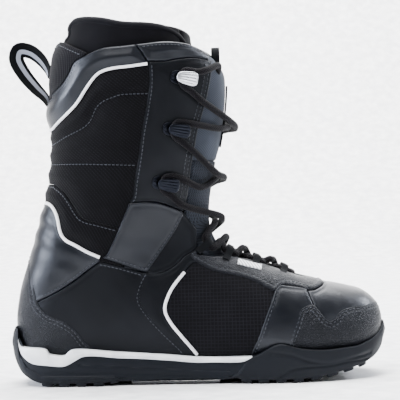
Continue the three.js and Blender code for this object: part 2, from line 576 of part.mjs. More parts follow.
// ---- Liner and footbed --------------------------------------------------------------------------------
const linerFace = {
  front: tongueInset + tonguePad + linerGapFront,
  sides: shellWall + 3.6,
  back: shellWall + 2,
};
const thinner = (inset, wall) => ({ front: inset.front + wall, sides: inset.sides + wall, back: inset.back + wall });
const linerInside = thinner(linerFace, linerWall);

function buildLiner() {
  const wall = lastVolume(linerFace, linerFacets).subtract(lastVolume(linerInside, linerFacets))
    .subtract(underfoot).subtract(shell);
  const rim = seam(line.linerRim);
  const foot = straight([[-200, 0], [200, 0], [200, 100], [-8, 92], [-76, 104], [-200, 118]]);
  const flex = straight([[-76, 104], [-8, 92], [60, 95], [60, 112], [-27, 112], [-26, 124]]);
  const tongue = straight([[-27, 112], [-24, 150], [-14, 200], [-8, 240], [-8, 320], [80, 320], [80, 112]]);
  const cutAway = (outlines) => outlines.reduce((left, outline) => (
    left.subtract(throughSide(grown(outline, seamGap)))), wall);

  add('liner_foot', wall.intersect(throughSide(foot)), 'liner_fabric');
  add('liner_flex_panel', cutAway([foot]).intersect(throughSide(flex)), 'liner_fabric');
  const underRim = throughSide([...rim, [60, 0], [-160, 0]]);
  add('liner_cuff', cutAway([foot, flex, tongue]).intersect(underRim), 'liner_fabric');
  add('liner_tongue', cutAway([foot, flex]).intersect(throughSide(tongue)).intersect(underRim)
    .subtract(laceTailRoom), 'liner_fabric');
  const bed = throughSide([...featherAt(footbedBottom), ...featherAt(footbedBottom + footbedThickness).reverse()]);
  add('footbed', lastVolume(thinner(linerInside, seamGap), linerFacets).intersect(bed), 'foam_black');
}

// ---- Lace hooks ---------------------------------------------------------------------------------------
const hookCentres = [[-8, 247], [-15, 206], [-25, 163]];
const hookLift = 0.5;                                        // base plate over the faceted panel
const lacePassage = laceDiameter + 2 * seamGap;              // room between the base plate and the cap
const capBottom = hookLift + hookMetal + lacePassage;
const hookRivet = 4;                                         // diameter

// A plate in a hook's own frame: ahead is towards the front of the boot, up along the cuff, out off it.
function hookPlate(frame, [ahead, up, out], [length, width, height], corner) {
  const [l, w] = [length / 2, width / 2];
  const shape = new THREE.Shape([[l, corner - w], [l, w - corner], [l - corner, w], [corner - l, w],
    [-l, w - corner], [-l, corner - w], [corner - l, -w], [l - corner, -w]].map(([x, y]) => new THREE.Vector2(x, y)));
  const geometry = new THREE.ExtrudeGeometry(shape, { depth: height, bevelEnabled: false });
  geometry.translate(ahead, up, out);
  geometry.applyMatrix4(frame);
  return solidOf(geometry);
}

function hookFrame([x, z], side) {
  const { point, normal } = onLast(x * lengthScale, z * heightScale, side);
  const cuffLean = new THREE.Vector3(0.17, 0, 1).normalize();
  const ahead = cuffLean.clone().cross(normal).normalize().multiplyScalar(-side);
  const up = normal.clone().cross(ahead).normalize().multiplyScalar(-side);
  return new THREE.Matrix4().makeBasis(ahead, up, normal).setPosition(point);
}

function rivet(frame, diameter, from, to) {
  const geometry = new THREE.CylinderGeometry(diameter / 2, diameter / 2, to - from, 8);
  geometry.rotateX(Math.PI / 2);
  geometry.translate(-hookCapLength / 2 + 2.5, 0, (from + to) / 2);
  geometry.applyMatrix4(frame);
  return solidOf(geometry);
}

const hookPlaces = hookCentres.flatMap((centre, row) => [-1, 1].map((side) => {
  const frame = hookFrame(centre, side);
  return {
    name: `lace_hook_${row + 1}_${side < 0 ? 'outer' : 'inner'}`,
    finish: row === 0 ? 'hook_silver' : 'hook_dark',
    frame,
    rivetHole: rivet(frame, hookRivet + 2 * seamGap, -3 * shellWall, 3),
  };
}));

function buildHooks() {
  hookPlaces.forEach(({ name, finish, frame }) => {
    const base = hookPlate(frame, [-3, 0, hookLift], [hookCapLength, hookCapWidth - 1, hookMetal], 3);
    const neck = hookPlate(frame, [3.5, 0, hookLift + 0.5], [hookNeck, hookNeck, capBottom - hookLift], 1);
    const cap = hookPlate(frame, [1, 0, capBottom], [hookCapLength, hookCapWidth, hookMetal + 0.6], 3);
    const shank = rivet(frame, hookRivet, -shellWall - 0.2, hookLift + 1);
    add(name, union([base, neck, cap, shank]), finish);
  });
}

// ---- Lace and its guides ------------------------------------------------------------------------------
// The lace starts at the middle of the bar by the toes and zigzags up: two halves that mirror each other,
// except that one passes over where the other passes under.
const laceRadius = laceDiameter / 2;
const onTongue = laceRadius + 2 * seamGap - tongueInset;
const overStrand = onTongue + laceDiameter + seamGap;
const underCap = hookLift + hookMetal + lacePassage / 2;
const inGuide = 1.5;
const guides = [[87.5, 9.5], [97, 13.5], [107, 17], [120, 24]];   // height, distance from the middle
const crossings = [92, 102, 113.5, 131, 167.5, 209];                // heights at which the strands cross
const crossingWidth = 6;                                            // half the stretch that lies flat there

// The point over the front of the boot at a height, a distance sideways from the middle.
function onFront(z, sideways, lift) {
  let [lo, hi] = [rowAt[1], lastLength];
  for (let i = 0; i < 40; i++) {
    const mid = (lo + hi) / 2;
    if (lastRow(mid)[1] < z * heightScale) lo = mid;
    else hi = mid;
  }
  const [, , , , width, , , , squareFront] = lastRow(lo);
  const reach = Math.asin(Math.min(1, (Math.abs(sideways) / width) ** (1 / squareFront)));
  return offLast(lo, Math.PI - reach, sideways < 0 ? -1 : 1, lift);
}

// Where a guide holds the lace: the middle of the lace there and the three directions of the guide.
function guideFrame([z, reach], side) {
  const { point, normal } = onFront(z, side * reach, inGuide);
  const outwards = new THREE.Vector3(0, side, 0).addScaledVector(normal, -side * normal.y).normalize();
  const upwards = outwards.clone().cross(normal).multiplyScalar(-side);
  return new THREE.Matrix4().makeBasis(outwards, upwards, normal).setPosition(point);
}

// One half of the lace as points, with the place in the list where its lower part ends.
function laceHalf(firstSide, overFirst) {
  const points = [];
  const at = (frame, [a, b, c]) => points.push(new THREE.Vector3(a, b, c).applyMatrix4(frame));
  const front = (z, sideways, lift) => points.push(onFront(z, sideways, lift).point);
  let side = firstSide;
  let over = overFirst;
  const cross = (z, [fallIn, riseOut], raise) => {
    const lift = (over ? overStrand : onTongue) + raise;
    front(z - fallIn, side * crossingWidth, lift);
    front(z, 0, lift);
    front(z + riseOut, -side * crossingWidth, lift);
    side = -side;
    over = !over;
  };
  if (side > 0) front(guides[0][0] - 3.2, 0, inGuide);
  guides.forEach((guide, i) => {
    const frame = guideFrame(guide, side);
    const half = guideWidth / 2 - 0.3;
    [[-4.2, -half - 3.8], [-1.2, -half - 2.8], [0, -half], [0, half], [-1.2, half + 2.8], [-4.2, half + 3.8]]
      .forEach(([out, up]) => at(frame, [out, up, 0]));
    cross(crossings[i], i < 3 ? [0.8, 0.8] : [1.6, 3.5], i < 3 ? 0 : 2.6);
  });
  let lowerEnd = 0;
  [...hookCentres].reverse().forEach((centre, i) => {
    const frame = hookFrame(centre, side);
    const behind = 1 - laceRadius - 2 * seamGap;
    const beside = hookNeck / 2 + laceRadius + 2 * seamGap;
    at(frame, [17, -15, 3.4]);
    at(frame, [7, -9.5, underCap - 0.6]);
    at(frame, [behind + 2.2, -beside, underCap]);
    at(frame, [behind, -3.2, underCap]);
    if (i === 0) lowerEnd = points.length;
    at(frame, [behind, 3.2, underCap]);
    at(frame, [behind + 2.2, beside, underCap]);
    at(frame, [10, beside + 0.6, underCap - 0.4]);
    if (i < 2) {
      const next = crossings[4 + i];
      front(next, side * 30, 3.4);
      front(next, side * 18, over ? overStrand - 0.6 : 2.2);
      cross(next, [0, 1.6], i ? webbingThickness + 2 * seamGap : 1);
      front(next + 6, side * 20, over ? 2.2 : overStrand - 0.6);
    }
  });
  const top = hookFrame(hookCentres[0], side);
  at(top, [18, 9.5, 3.5]);
  front(258, side * 30, 1.5);
  front(256, side * 26, -3);
  front(250, side * 23, -8.5);
  [238, 226, 214, 202].forEach((z) => front(z, side * 18, -(tongueInset + tonguePad + linerGapFront / 2)));
  return { points, lowerEnd };
}

const laceHalves = [laceHalf(-1, false), laceHalf(1, true)];
const laceRoom = union(laceHalves.map(({ points }) => cord(points, laceDiameter + seamGap, 8)));
const laceTailRoom = union(laceHalves.map(({ points }) => (
  cord(points.slice(-8), laceDiameter + 2 * seamGap, 8))));

function buildLace() {
  const parts = laceHalves.map(({ points, lowerEnd }) => {
    const [before, after] = [points[lowerEnd - 1], points[lowerEnd]];
    const join = (shift) => before.clone().lerp(after, 0.5 + shift / before.distanceTo(after));
    return {
      lower: [...points.slice(0, lowerEnd), join(-seamGap / 2)],
      upper: [join(seamGap / 2), ...points.slice(lowerEnd)],
    };
  });
  add('lace_lower', cord([...parts[0].lower.reverse(), ...parts[1].lower], laceDiameter, 8), 'lace');
  add('lace_upper_outer', cord(parts[1].upper, laceDiameter, 8), 'lace');
  add('lace_upper_inner', cord(parts[0].upper, laceDiameter, 8), 'lace');
}

// Each guide is webbing folded round the lace, with its long end sewn to the edge of the throat.
function buildGuides() {
  const clear = laceRadius + 2 * seamGap + webbingThickness / 2;
  const fold = [[13, -1.2], [8, 0.6], [2, clear], [-2, clear - 0.6], [-clear, 0.4], [-3, 1.4 - clear], [0, -clear]];
  guides.forEach((guide, row) => [-1, 1].forEach((side) => {
    const frame = guideFrame(guide, side);
    const [outwards, upwards, normal] = [0, 1, 2].map((axis) => (
      new THREE.Vector3().setFromMatrixColumn(frame, axis)));
    const stations = fold.map(([out, up], i) => {
      const [nextOut, nextUp] = fold[Math.min(i + 1, fold.length - 1)];
      const [lastOut, lastUp] = fold[Math.max(i - 1, 0)];
      return {
        point: new THREE.Vector3(out, 0, up).applyMatrix4(frame),
        across: upwards,
        through: outwards.clone().multiplyScalar(lastUp - nextUp).addScaledVector(normal, nextOut - lastOut)
          .normalize(),
      };
    });
    add(`lace_guide_${row + 1}_${side < 0 ? 'outer' : 'inner'}`, strip(stations, guideWidth, webbingThickness),
      'webbing');
  }));
}

// ---- Heel loop ----------------------------------------------------------------------------------------
// The pull loop behind the cuff. Its webbing turns half over between its two sewn ends.
const heelLoopPath = [[-120.7, 254], [-121.5, 261], [-127, 270], [-136, 277], [-145, 278], [-147.5, 271],
  [-142, 259], [-132, 246], [-124, 237], [-121.7, 230]];
function heelLoopStations() {
  const path = new THREE.CatmullRomCurve3(straight(heelLoopPath).map(([x, z]) => new THREE.Vector3(x, 0, z)));
  return heelLoopPath.map((_, i) => {
    const f = i / (heelLoopPath.length - 1);
    const tangent = path.getTangent(f);
    const turn = THREE.MathUtils.degToRad(40) * Math.sin(Math.PI * f) ** 2;
    const across = new THREE.Vector3(0, 1, 0).applyAxisAngle(tangent, turn);
    return { point: path.getPoint(f), across, through: tangent.clone().cross(across) };
  });
}

buildSole();
buildShell();
buildTongue();
buildLiner();
buildHooks();
buildLace();
buildGuides();
add('heel_loop', strip(heelLoopStations(), heelLoopWidth, webbingThickness), 'webbing');

export default boot;
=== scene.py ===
"""Finished surfaces of a laced snowboard boot, built around its CAD frame.

Sizes in the functions are millimetres in the frame's axes: +Z up, toes along +X, the outer side of the
foot towards -Y. The meshes are written in metres.
"""

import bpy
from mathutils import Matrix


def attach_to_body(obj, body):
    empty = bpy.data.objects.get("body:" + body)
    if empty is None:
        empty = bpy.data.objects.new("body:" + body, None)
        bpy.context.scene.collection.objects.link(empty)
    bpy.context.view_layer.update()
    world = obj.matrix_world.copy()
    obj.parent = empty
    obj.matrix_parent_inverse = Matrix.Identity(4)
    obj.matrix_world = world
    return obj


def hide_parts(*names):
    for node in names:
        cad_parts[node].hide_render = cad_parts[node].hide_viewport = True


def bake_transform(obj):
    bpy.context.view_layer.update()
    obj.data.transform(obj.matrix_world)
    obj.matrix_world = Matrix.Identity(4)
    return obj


bl_info = {
    "name": "Snowboard Boot",
    "version": (1, 0, 0),
    "blender": (4, 5, 0),
    "location": "3D View > Sidebar > Boot",
    "description": "Builds the finished surfaces of a laced snowboard boot around its CAD frame",
    "category": "Add Mesh",
}

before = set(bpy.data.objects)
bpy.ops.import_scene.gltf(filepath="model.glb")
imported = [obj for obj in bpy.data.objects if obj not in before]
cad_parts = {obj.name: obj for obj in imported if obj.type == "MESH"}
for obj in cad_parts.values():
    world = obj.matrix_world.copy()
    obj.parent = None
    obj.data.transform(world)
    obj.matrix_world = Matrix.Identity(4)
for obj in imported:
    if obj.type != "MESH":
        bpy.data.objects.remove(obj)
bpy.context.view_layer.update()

import math

import bpy
import numpy as np
from mathutils import Vector

MM = 0.001


# ---- Colours ---------------------------------------------------------------------------------------
def linear(code):
    """An sRGB colour written as six hex digits, turned to linear light by the sRGB curve."""
    parts = [int(code[i:i + 2], 16) / 255 for i in (0, 2, 4)]
    return tuple(c / 12.92 if c <= 0.04045 else ((c + 0.055) / 1.055) ** 2.4 for c in parts)


def colour(label, code):
    """A colour property with its default."""
    return bpy.props.FloatVectorProperty(
        name=label, description=f"Base colour of the {label.lower()}", subtype="COLOR", size=3,
        min=0, max=1, default=linear(code))


def length(label, text, default):
    """A length property in metres, from a default in millimetres."""
    return bpy.props.FloatProperty(
        name=label, description=text, subtype="DISTANCE", unit="LENGTH", min=0, default=default * MM,
        precision=5)


class BootSizes(bpy.types.PropertyGroup):
    """Sizes that shape the finished surfaces."""

    panel_edge: length("Panel edge", "Radius of a panel's folded edge", 1.5)
    panel_depth: length("Panel depth", "How far a panel's back lies under the shell's surface", 2.4)
    tuck: length("Tuck", "How far a panel runs under the one that is sewn over it", 4.0)
    quilt: length("Quilt", "How far the cuff's padding swells between its seams", 2.6)
    collar_puff: length("Collar", "How far the collar's padding swells", 2.4)
    piping: length("Piping", "Diameter of the piping", 2.7)
    stitch: length("Stitch", "Length of one stitch", 2.5)
    thread: length("Thread", "Diameter of the sewing thread", 0.8)
    lace: length("Lace", "Diameter of the lace", 5.5)
    binding: length("Binding", "Height of the rolled binding on the liner's rim", 6.5)
    lug: length("Lug", "Depth of the tread", 3.0)


class BootColours(bpy.types.PropertyGroup):
    """Colours of the finishes."""

    smooth_leather: colour("Smooth leather", "0a0c11")
    matte_leather: colour("Matte leather", "07080b")
    grained_leather: colour("Grained leather", "08090d")
    mesh_cloth: colour("Mesh cloth", "09090c")
    tongue_cloth: colour("Tongue cloth", "33373f")
    liner_cloth: colour("Liner cloth", "0a0a0e")
    rubber: colour("Rubber", "0c0e12")
    midsole: colour("Midsole", "0a0d12")
    frame_foam: colour("Midsole frame", "e3e6ec")
    piping: colour("Piping", "f0f0f6")
    thread: colour("Thread", "20242d")
    webbing: colour("Webbing", "060709")
    stripe: colour("Webbing stripe", "8b8f9c")
    lace: colour("Lace", "08070a")
    bright_metal: colour("Bright hook", "d4d6dc")
    dark_metal: colour("Dark hook", "1c1e24")
    board: colour("Lasting board", "8a7f6c")
    floor: colour("Floor", "f4f4f6")


# ---- The last --------------------------------------------------------------------------------------
# One smooth surface under everything that is sewn. Each row: top or front point x, z; bottom or back
# point x, z; half width; sideways shift; where it is widest; squareness at the bottom, at the top.
HALF_FOOT = 52.0
HALF_CUFF = 58.0
LAST_ROWS = np.array([
    (151.5, 41, 151.5, 39, 0, 7, 0.45, 0.6, 0.7),
    (150.5, 51, 150, 29.5, 0.29 * HALF_FOOT, 7, 0.45, 0.6, 0.7),
    (147, 60, 146, 25, 0.5 * HALF_FOOT, 7, 0.42, 0.55, 0.68),
    (138, 68, 137, 21.5, 0.71 * HALF_FOOT, 6.5, 0.38, 0.5, 0.66),
    (124, 72.5, 123, 19, 0.865 * HALF_FOOT, 5.5, 0.34, 0.45, 0.66),
    (105, 77, 103, 17, 0.96 * HALF_FOOT, 4, 0.3, 0.4, 0.66),
    (86, 81.5, 82, 16, HALF_FOOT, 2, 0.28, 0.38, 0.68),
    (66, 89.5, 52, 16, HALF_FOOT, 0, 0.28, 0.36, 0.72),
    (46, 98, 16, 17, 0.96 * HALF_FOOT, -1.5, 0.3, 0.35, 0.78),
    (31, 105, -24, 18, 0.91 * HALF_FOOT, -1.5, 0.33, 0.35, 0.85),
    (20, 114, -68, 19.5, 0.875 * HALF_FOOT, -1, 0.38, 0.36, 0.9),
    (14, 127, -112, 21, 0.86 * HALF_FOOT, -0.5, 0.43, 0.42, 0.9),
    (13, 139, -139, 25, 0.86 * HALF_FOOT, 0, 0.46, 0.46, 0.9),
    (14, 150, -149, 45, 0.78 * HALF_CUFF, 0, 0.47, 0.62, 0.88),
    (16, 161, -147.5, 72, 0.81 * HALF_CUFF, 0, 0.47, 0.85, 0.86),
    (19, 173, -139, 102, 0.845 * HALF_CUFF, 0, 0.47, 0.85, 0.84),
    (22, 186, -129, 137, 0.88 * HALF_CUFF, 0, 0.47, 0.85, 0.82),
    (25, 199, -122.5, 165, 0.915 * HALF_CUFF, 0, 0.48, 0.85, 0.8),
    (28, 218, -119, 195, 0.95 * HALF_CUFF, 0, 0.48, 0.85, 0.8),
    (30, 238, -120, 225, 0.98 * HALF_CUFF, 0, 0.48, 0.85, 0.8),
    (29.5, 254, -119, 246, HALF_CUFF, 0, 0.48, 0.85, 0.8),
    (23, 264.5, -117, 260, HALF_CUFF, 0, 0.48, 0.85, 0.8),
    (16, 272, -115, 272, HALF_CUFF, 0, 0.48, 0.85, 0.8),
    (14, 288, -111, 288, HALF_CUFF, 0, 0.48, 0.85, 0.8),
    (14, 308, -109, 308, HALF_CUFF, 0, 0.48, 0.85, 0.8),
])
BALL_X = 84.0
TOE_X = LAST_ROWS[0, 0]
FADE_CHORD = 60.0
STEPS = np.diff(LAST_ROWS, axis=0)
ROW_AT = np.concatenate([[0], np.cumsum(
    (np.hypot(STEPS[:, 0], STEPS[:, 1]) + np.hypot(STEPS[:, 2], STEPS[:, 3])) / 2)])
LAST_LENGTH = ROW_AT[-1]
BEFORE = np.maximum(np.arange(len(ROW_AT)) - 1, 0)
AFTER = np.minimum(np.arange(len(ROW_AT)) + 1, len(ROW_AT) - 1)
ROW_SLOPES = (LAST_ROWS[AFTER] - LAST_ROWS[BEFORE]) / (ROW_AT[AFTER] - ROW_AT[BEFORE])[:, None]
NO_INSET = (0.0, 0.0, 0.0)

# The slanting zone at the ankle where the shell bends, as two points in metres on the way from the
# lower boot to the cuff, and the zone where the lace follows the tongue.
ANKLE_START = (0, 0, 0.1043)
ANKLE_END = (-0.0179, 0, 0.1609)
TONGUE_START = (0.003, 0, 0.206)
TONGUE_END = (0.0174, 0, 0.1952)


def last_row(u):
    """The row at distance u along the last: cubic Hermite pieces with the neighbours' chords as slopes."""
    i = np.clip(np.searchsorted(ROW_AT, u) - 1, 0, len(ROW_AT) - 2)
    span = (ROW_AT[i + 1] - ROW_AT[i])[..., None]
    f = (u - ROW_AT[i])[..., None] / span
    start = 2 * f ** 3 - 3 * f ** 2 + 1
    slopes = (f ** 3 - 2 * f ** 2 + f) * ROW_SLOPES[i] + (f ** 3 - f ** 2) * ROW_SLOPES[i + 1]
    return start * LAST_ROWS[i] + (1 - start) * LAST_ROWS[i + 1] + span * slopes


def last_point(u, turn, inset=NO_INSET):
    """A point of the last. turn runs round it from the bottom or back, by the outer side, to pi at the top
    or front and back by the inner side. Across each row it is a superellipse: the half width times the
    sine of the angle to the power of the squareness. inset moves the front, the sides and the back in."""
    front, sides, back = inset
    outer = turn <= math.pi
    angle = np.where(outer, turn, 2 * math.pi - turn)
    fx, fz, bx, bz, width, shift, widest, square_back, square_front = np.moveaxis(last_row(u), -1, 0)
    chord = np.maximum(np.hypot(fx - bx, fz - bz), 1e-6)
    fade = np.minimum(1, chord / FADE_CHORD)
    c = np.cos(angle)
    along = np.where(c > 0, widest * (1 - c), widest - (1 - widest) * c)
    squareness = square_back + (square_front - square_back) * (1 - c) / 2
    inner = width - sides * np.minimum(1, width / HALF_FOOT)
    reach = back * fade + (chord - (back + front) * fade) * along
    x = bx + (fx - bx) / chord * reach
    x = np.where(x > BALL_X, BALL_X + (x - BALL_X) * (1 - sides / (TOE_X - BALL_X)), x)
    y = shift + np.where(outer, -1, 1) * inner * np.maximum(np.sin(angle), 0) ** squareness
    return np.stack([x, y, bz + (fz - bz) / chord * reach], axis=-1)


def unit(vectors):
    """Each vector divided by its own length."""
    vectors = np.asarray(vectors, float)
    return vectors / np.maximum(np.linalg.norm(vectors, axis=-1, keepdims=True), 1e-9)


def last_surface(u, turn, inset=NO_INSET):
    """Points of the last with outward normals: the cross product of central differences along the last
    and round it. Towards the middle lines the normal's sideways part fades out."""
    angle = np.where(turn <= math.pi, turn, 2 * math.pi - turn)
    clear = np.clip(angle, 0.05, math.pi - 0.05)
    near = np.where(turn <= math.pi, clear, 2 * math.pi - clear)
    safe = np.clip(u, 2.0, LAST_LENGTH - 1)
    along = last_point(safe + 1, near, inset) - last_point(safe - 1, near, inset)
    around = last_point(safe, near + 0.01, inset) - last_point(safe, near - 0.01, inset)
    normal = -np.cross(along, around)
    normal[..., 1] *= np.minimum(np.minimum(angle, math.pi - angle) / 0.05, 1)
    return last_point(u, turn, inset), unit(normal)


def find_on_last(x, z, side):
    """u and turn of the point of the last seen at x, z in the side view. Its row is found by halving:
    the row's chord passes through the point."""
    x, z = np.broadcast_arrays(np.asarray(x, float), np.asarray(z, float))
    low, high = np.full(x.shape, ROW_AT[1]), np.full(x.shape, LAST_LENGTH)
    for _ in range(36):
        middle = (low + high) / 2
        fx, fz, bx, bz = np.moveaxis(last_row(middle)[..., :4], -1, 0)
        ahead = (fx - bx) * (z - bz) - (fz - bz) * (x - bx) > 0
        low, high = np.where(ahead, middle, low), np.where(ahead, high, middle)
    row = last_row(low)
    fx, fz, bx, bz, widest = row[..., 0], row[..., 1], row[..., 2], row[..., 3], row[..., 6]
    along = ((x - bx) * (fx - bx) + (z - bz) * (fz - bz)) / ((fx - bx) ** 2 + (fz - bz) ** 2)
    c = np.where(along < widest, 1 - along / widest, (widest - along) / (1 - widest))
    angle = np.arccos(np.clip(c, -1, 1))
    return low, np.where(np.asarray(side) < 0, angle, 2 * math.pi - angle), np.abs(c) <= 1


def on_front(z, sideways, lift):
    """The point over the front of the boot at a height and a distance sideways from the middle."""
    low, high = ROW_AT[1], LAST_LENGTH
    for _ in range(40):
        middle = (low + high) / 2
        low, high = (middle, high) if last_row(np.array(middle))[1] < z else (low, middle)
    row = last_row(np.array(low))
    reach = math.asin(min(1, (abs(sideways) / row[4]) ** (1 / row[8])))
    angle = math.pi - reach
    turn = angle if sideways < 0 else 2 * math.pi - angle
    point, normal = last_surface(np.array(low), np.array(turn))
    return point + normal * lift, normal


# ---- Seam lines, drawn in the side view as x, z ------------------------------------------------------
def spline(points, pieces=5):
    """A uniform Catmull-Rom curve through the points, with a number of pieces between two of them."""
    p = np.asarray(points, float)
    t = np.linspace(0, len(p) - 1, (len(p) - 1) * pieces + 1)
    i = np.minimum(t.astype(int), len(p) - 2)
    f = (t - i)[:, None]
    a, b, c, d = p[np.maximum(i - 1, 0)], p[i], p[i + 1], p[np.minimum(i + 2, len(p) - 1)]
    v0, v1 = (c - a) / 2, (d - b) / 2
    return ((2 * b - 2 * c + v0 + v1) * f ** 3 + (-3 * b + 3 * c - 2 * v0 - v1) * f ** 2 + v0 * f + b)


SEAMS = {name: spline(points) for name, points in {
    "sole_top_toe": [(40, 21), (47, 23), (54, 27), (60, 30), (67, 31), (77, 28), (88, 26), (102, 25),
                     (118, 26), (129, 27), (140, 31), (147, 35.5), (151, 40), (154, 44)],
    "toe_profile": [(154, 44), (156, 38), (156, 33), (153, 28), (150, 21), (144, 15), (134, 10), (123, 7),
                    (110, 4), (101, 2), (91, 0.8), (80, 0)],
    "heel_profile": [(-127, 0), (-133, 1), (-140, 4), (-147, 9), (-152, 17), (-155, 25), (-156, 34),
                     (-155.5, 41), (-152, 48)],
    "frame_top": [(-150, 40), (-148, 34), (-144, 32), (-127, 31), (-123, 27), (-121, 26), (-111, 25),
                  (-107, 28), (-103, 30), (-92, 30), (-75, 28), (-50, 26), (-25, 24), (-4, 22), (13, 21.5),
                  (42, 21.5)],
    "frame_bottom": [(42, 21), (33, 17), (12, 17), (-4, 17), (-25, 19), (-50, 21), (-67, 22), (-84, 24),
                     (-94, 24), (-99, 22), (-107, 17.5), (-113, 16), (-126, 17), (-136, 18), (-142, 21),
                     (-147, 26), (-149, 32)],
    "toe_cap_top": [(70, 30), (73, 39), (77, 48), (80, 56), (83, 59), (87, 60.5), (93, 61), (97, 57),
                    (102, 50.5), (106, 48), (110, 50), (114, 55), (124, 58), (136, 58.5), (146, 60),
                    (160, 61)],
    "strap_rear": [(40, 18), (43, 28), (48, 38), (53, 51), (59, 66), (62, 74)],
    "stay_lower": [(-7, 104), (-4, 100), (2, 96), (14, 90), (35, 85), (48, 80), (61, 73), (66, 76), (70, 77),
                   (76, 76), (83, 74), (89, 72), (95, 72), (102, 75), (107, 79)],
    "stay_upper": [(107, 95), (60, 110), (30, 122), (23, 112), (18, 110.5), (11, 111), (5, 111), (-2, 108),
                   (-7, 104)],
    "quarter_front": [(-5, 97), (-11, 90), (-19, 81), (-24, 73), (-27, 65), (-28, 61), (-26, 55), (-21, 47),
                      (-12, 36), (-4, 26), (3, 16)],
    "midfoot_rear": [(-44, 91), (-48, 84), (-51, 76), (-52, 69), (-49, 61), (-41, 50), (-29, 37), (-18, 26),
                     (-12, 16)],
    "quarter_top": [(-79, 101), (-63, 97), (-46, 91.5), (-41, 91)],
    "quarter_rear": [(-79, 101), (-89, 94), (-100, 86), (-113, 78), (-127, 71)],
    "counter_top": [(-170, 110), (-137, 109), (-134, 101), (-133, 92), (-132, 79), (-131, 69), (-127, 63),
                    (-121, 58), (-111, 54), (-103, 49), (-98, 44), (-93, 37), (-86, 29), (-80, 16)],
    "ankle_rear": [(-170, 149), (-127, 149), (-122, 149), (-118, 147), (-114, 141), (-112, 133), (-111, 126),
                   (-107, 119), (-99, 115), (-89, 109), (-79, 104.5)],
    "gusset_bottom": [(-41, 91), (-37, 89.5), (-32, 90), (-23, 93), (-16, 98), (-11, 103), (-7, 105)],
    "gusset_front": [(-7, 105), (-2, 108), (5, 111), (10, 112), (5, 118), (2, 122), (-6, 133), (-11, 139)],
    "flap_bottom": [(-77, 104), (-61, 98), (-46, 92.5), (-41, 91.5)],
    "flap_front": [(-41, 91.5), (-39, 94), (-28, 109), (-17, 125), (-11, 137)],
    "flap_top": [(-11, 139), (-16, 142), (-33, 148), (-54, 148)],
    "facing_front": [(-11, 139), (-7, 152), (-5, 164), (-3, 177), (0, 191), (3, 205), (7, 218), (11, 231),
                     (15, 250), (16, 262)],
    "facing_rear": [(-35, 261), (-35, 243), (-38, 224), (-42, 205), (-45, 186), (-49, 166), (-51, 153),
                    (-54, 148), (-63, 127), (-73, 107), (-77, 104)],
    "collar_front_lower": [(-36, 261), (-23, 261), (-10, 263), (2, 264), (13, 262)],
    "collar_top": [(13, 262), (14, 266), (12, 269), (4, 273), (-6, 276), (-22, 277), (-42, 275), (-54, 274),
                   (-70, 273), (-80, 270), (-87, 267)],
    "collar_rear_top": [(-87, 267), (-95, 263), (-100, 254), (-106, 246), (-115, 239), (-119, 235),
                        (-150, 235)],
    "collar_lower": [(-150, 210), (-119, 210), (-112, 214), (-103, 221), (-94, 229), (-87, 239), (-81, 247),
                     (-75, 253), (-65, 256), (-54, 257), (-44, 258), (-36, 259)],
    "gusset_rim": [(-87, 267), (-86, 270), (-97, 276), (-104, 280), (-109, 282), (-113, 281), (-150, 281)],
    "cuff_seam": [(-170, 167), (-122, 165), (-113, 162), (-106, 156), (-100, 147), (-95, 139), (-90, 135),
                  (-79, 132), (-62, 127)],
    "quilt_upper": [(-125, 196), (-117, 197), (-104, 203), (-90, 209), (-83, 215), (-78, 225), (-72, 230),
                    (-64, 233), (-55, 235), (-30, 235)],
    "quilt_lower": [(-130, 182), (-119, 181), (-89, 180), (-49, 178), (-30, 177)],
    "tongue_top": [(60, 261), (26, 262), (20, 267), (14, 270), (13, 264)],
    "liner_rim": [(-125, 282), (-105, 286), (-104, 293), (-101, 298), (-93, 299), (-73, 297), (-51, 293),
                  (-26, 292), (-9, 290), (2, 286), (9, 280), (13, 274), (60, 268)],
    "feather": [(-160, 22), (-139, 22), (-112, 21), (-68, 19.5), (-24, 18), (16, 17), (52, 16), (82, 16),
                (103, 17), (123, 19), (137, 21.5), (146, 25), (160, 32)],
}.items()}


def outline(*parts):
    """A closed outline from seam lines and straight stretches, each a name, a name with a minus sign in
    front to run it backwards, or a list of points."""
    pieces = []
    for part in parts:
        if isinstance(part, str):
            pieces.append(SEAMS[part[1:]][::-1] if part[0] == "-" else SEAMS[part])
        else:
            pieces.append(np.array(part, float).reshape(-1, 2))
    return np.concatenate(pieces)


def inside_distance(x, z, points, reach=8.0):
    """How far each place is inside a closed outline: the least distance to its edges, with a minus sign
    outside, where a ray meets the outline an even number of times."""
    result = np.full(x.shape, -1e3)
    low, high = points.min(0) - reach, points.max(0) + reach
    near = np.flatnonzero((x > low[0]) & (x < high[0]) & (z > low[1]) & (z < high[1]))
    a, b = points, np.roll(points, -1, axis=0)
    keep = np.abs(b - a).sum(1) > 1e-9
    a, b = a[keep], b[keep]
    edge = b - a
    size = (edge ** 2).sum(1)
    for part in np.array_split(near, len(near) // 12000 + 1):
        dx, dz = x[part, None] - a[:, 0], z[part, None] - a[:, 1]
        t = np.clip((dx * edge[:, 0] + dz * edge[:, 1]) / size, 0, 1)
        far = np.sqrt(((dx - t * edge[:, 0]) ** 2 + (dz - t * edge[:, 1]) ** 2).min(1))
        spans = (a[:, 1] > z[part, None]) != (b[:, 1] > z[part, None])
        with np.errstate(divide="ignore", invalid="ignore"):
            meets = x[part, None] < edge[:, 0] * dz / edge[:, 1] + a[:, 0]
        inside = (spans & meets).sum(1) % 2 == 1
        result[part] = np.where(inside, far, -far)
    return result


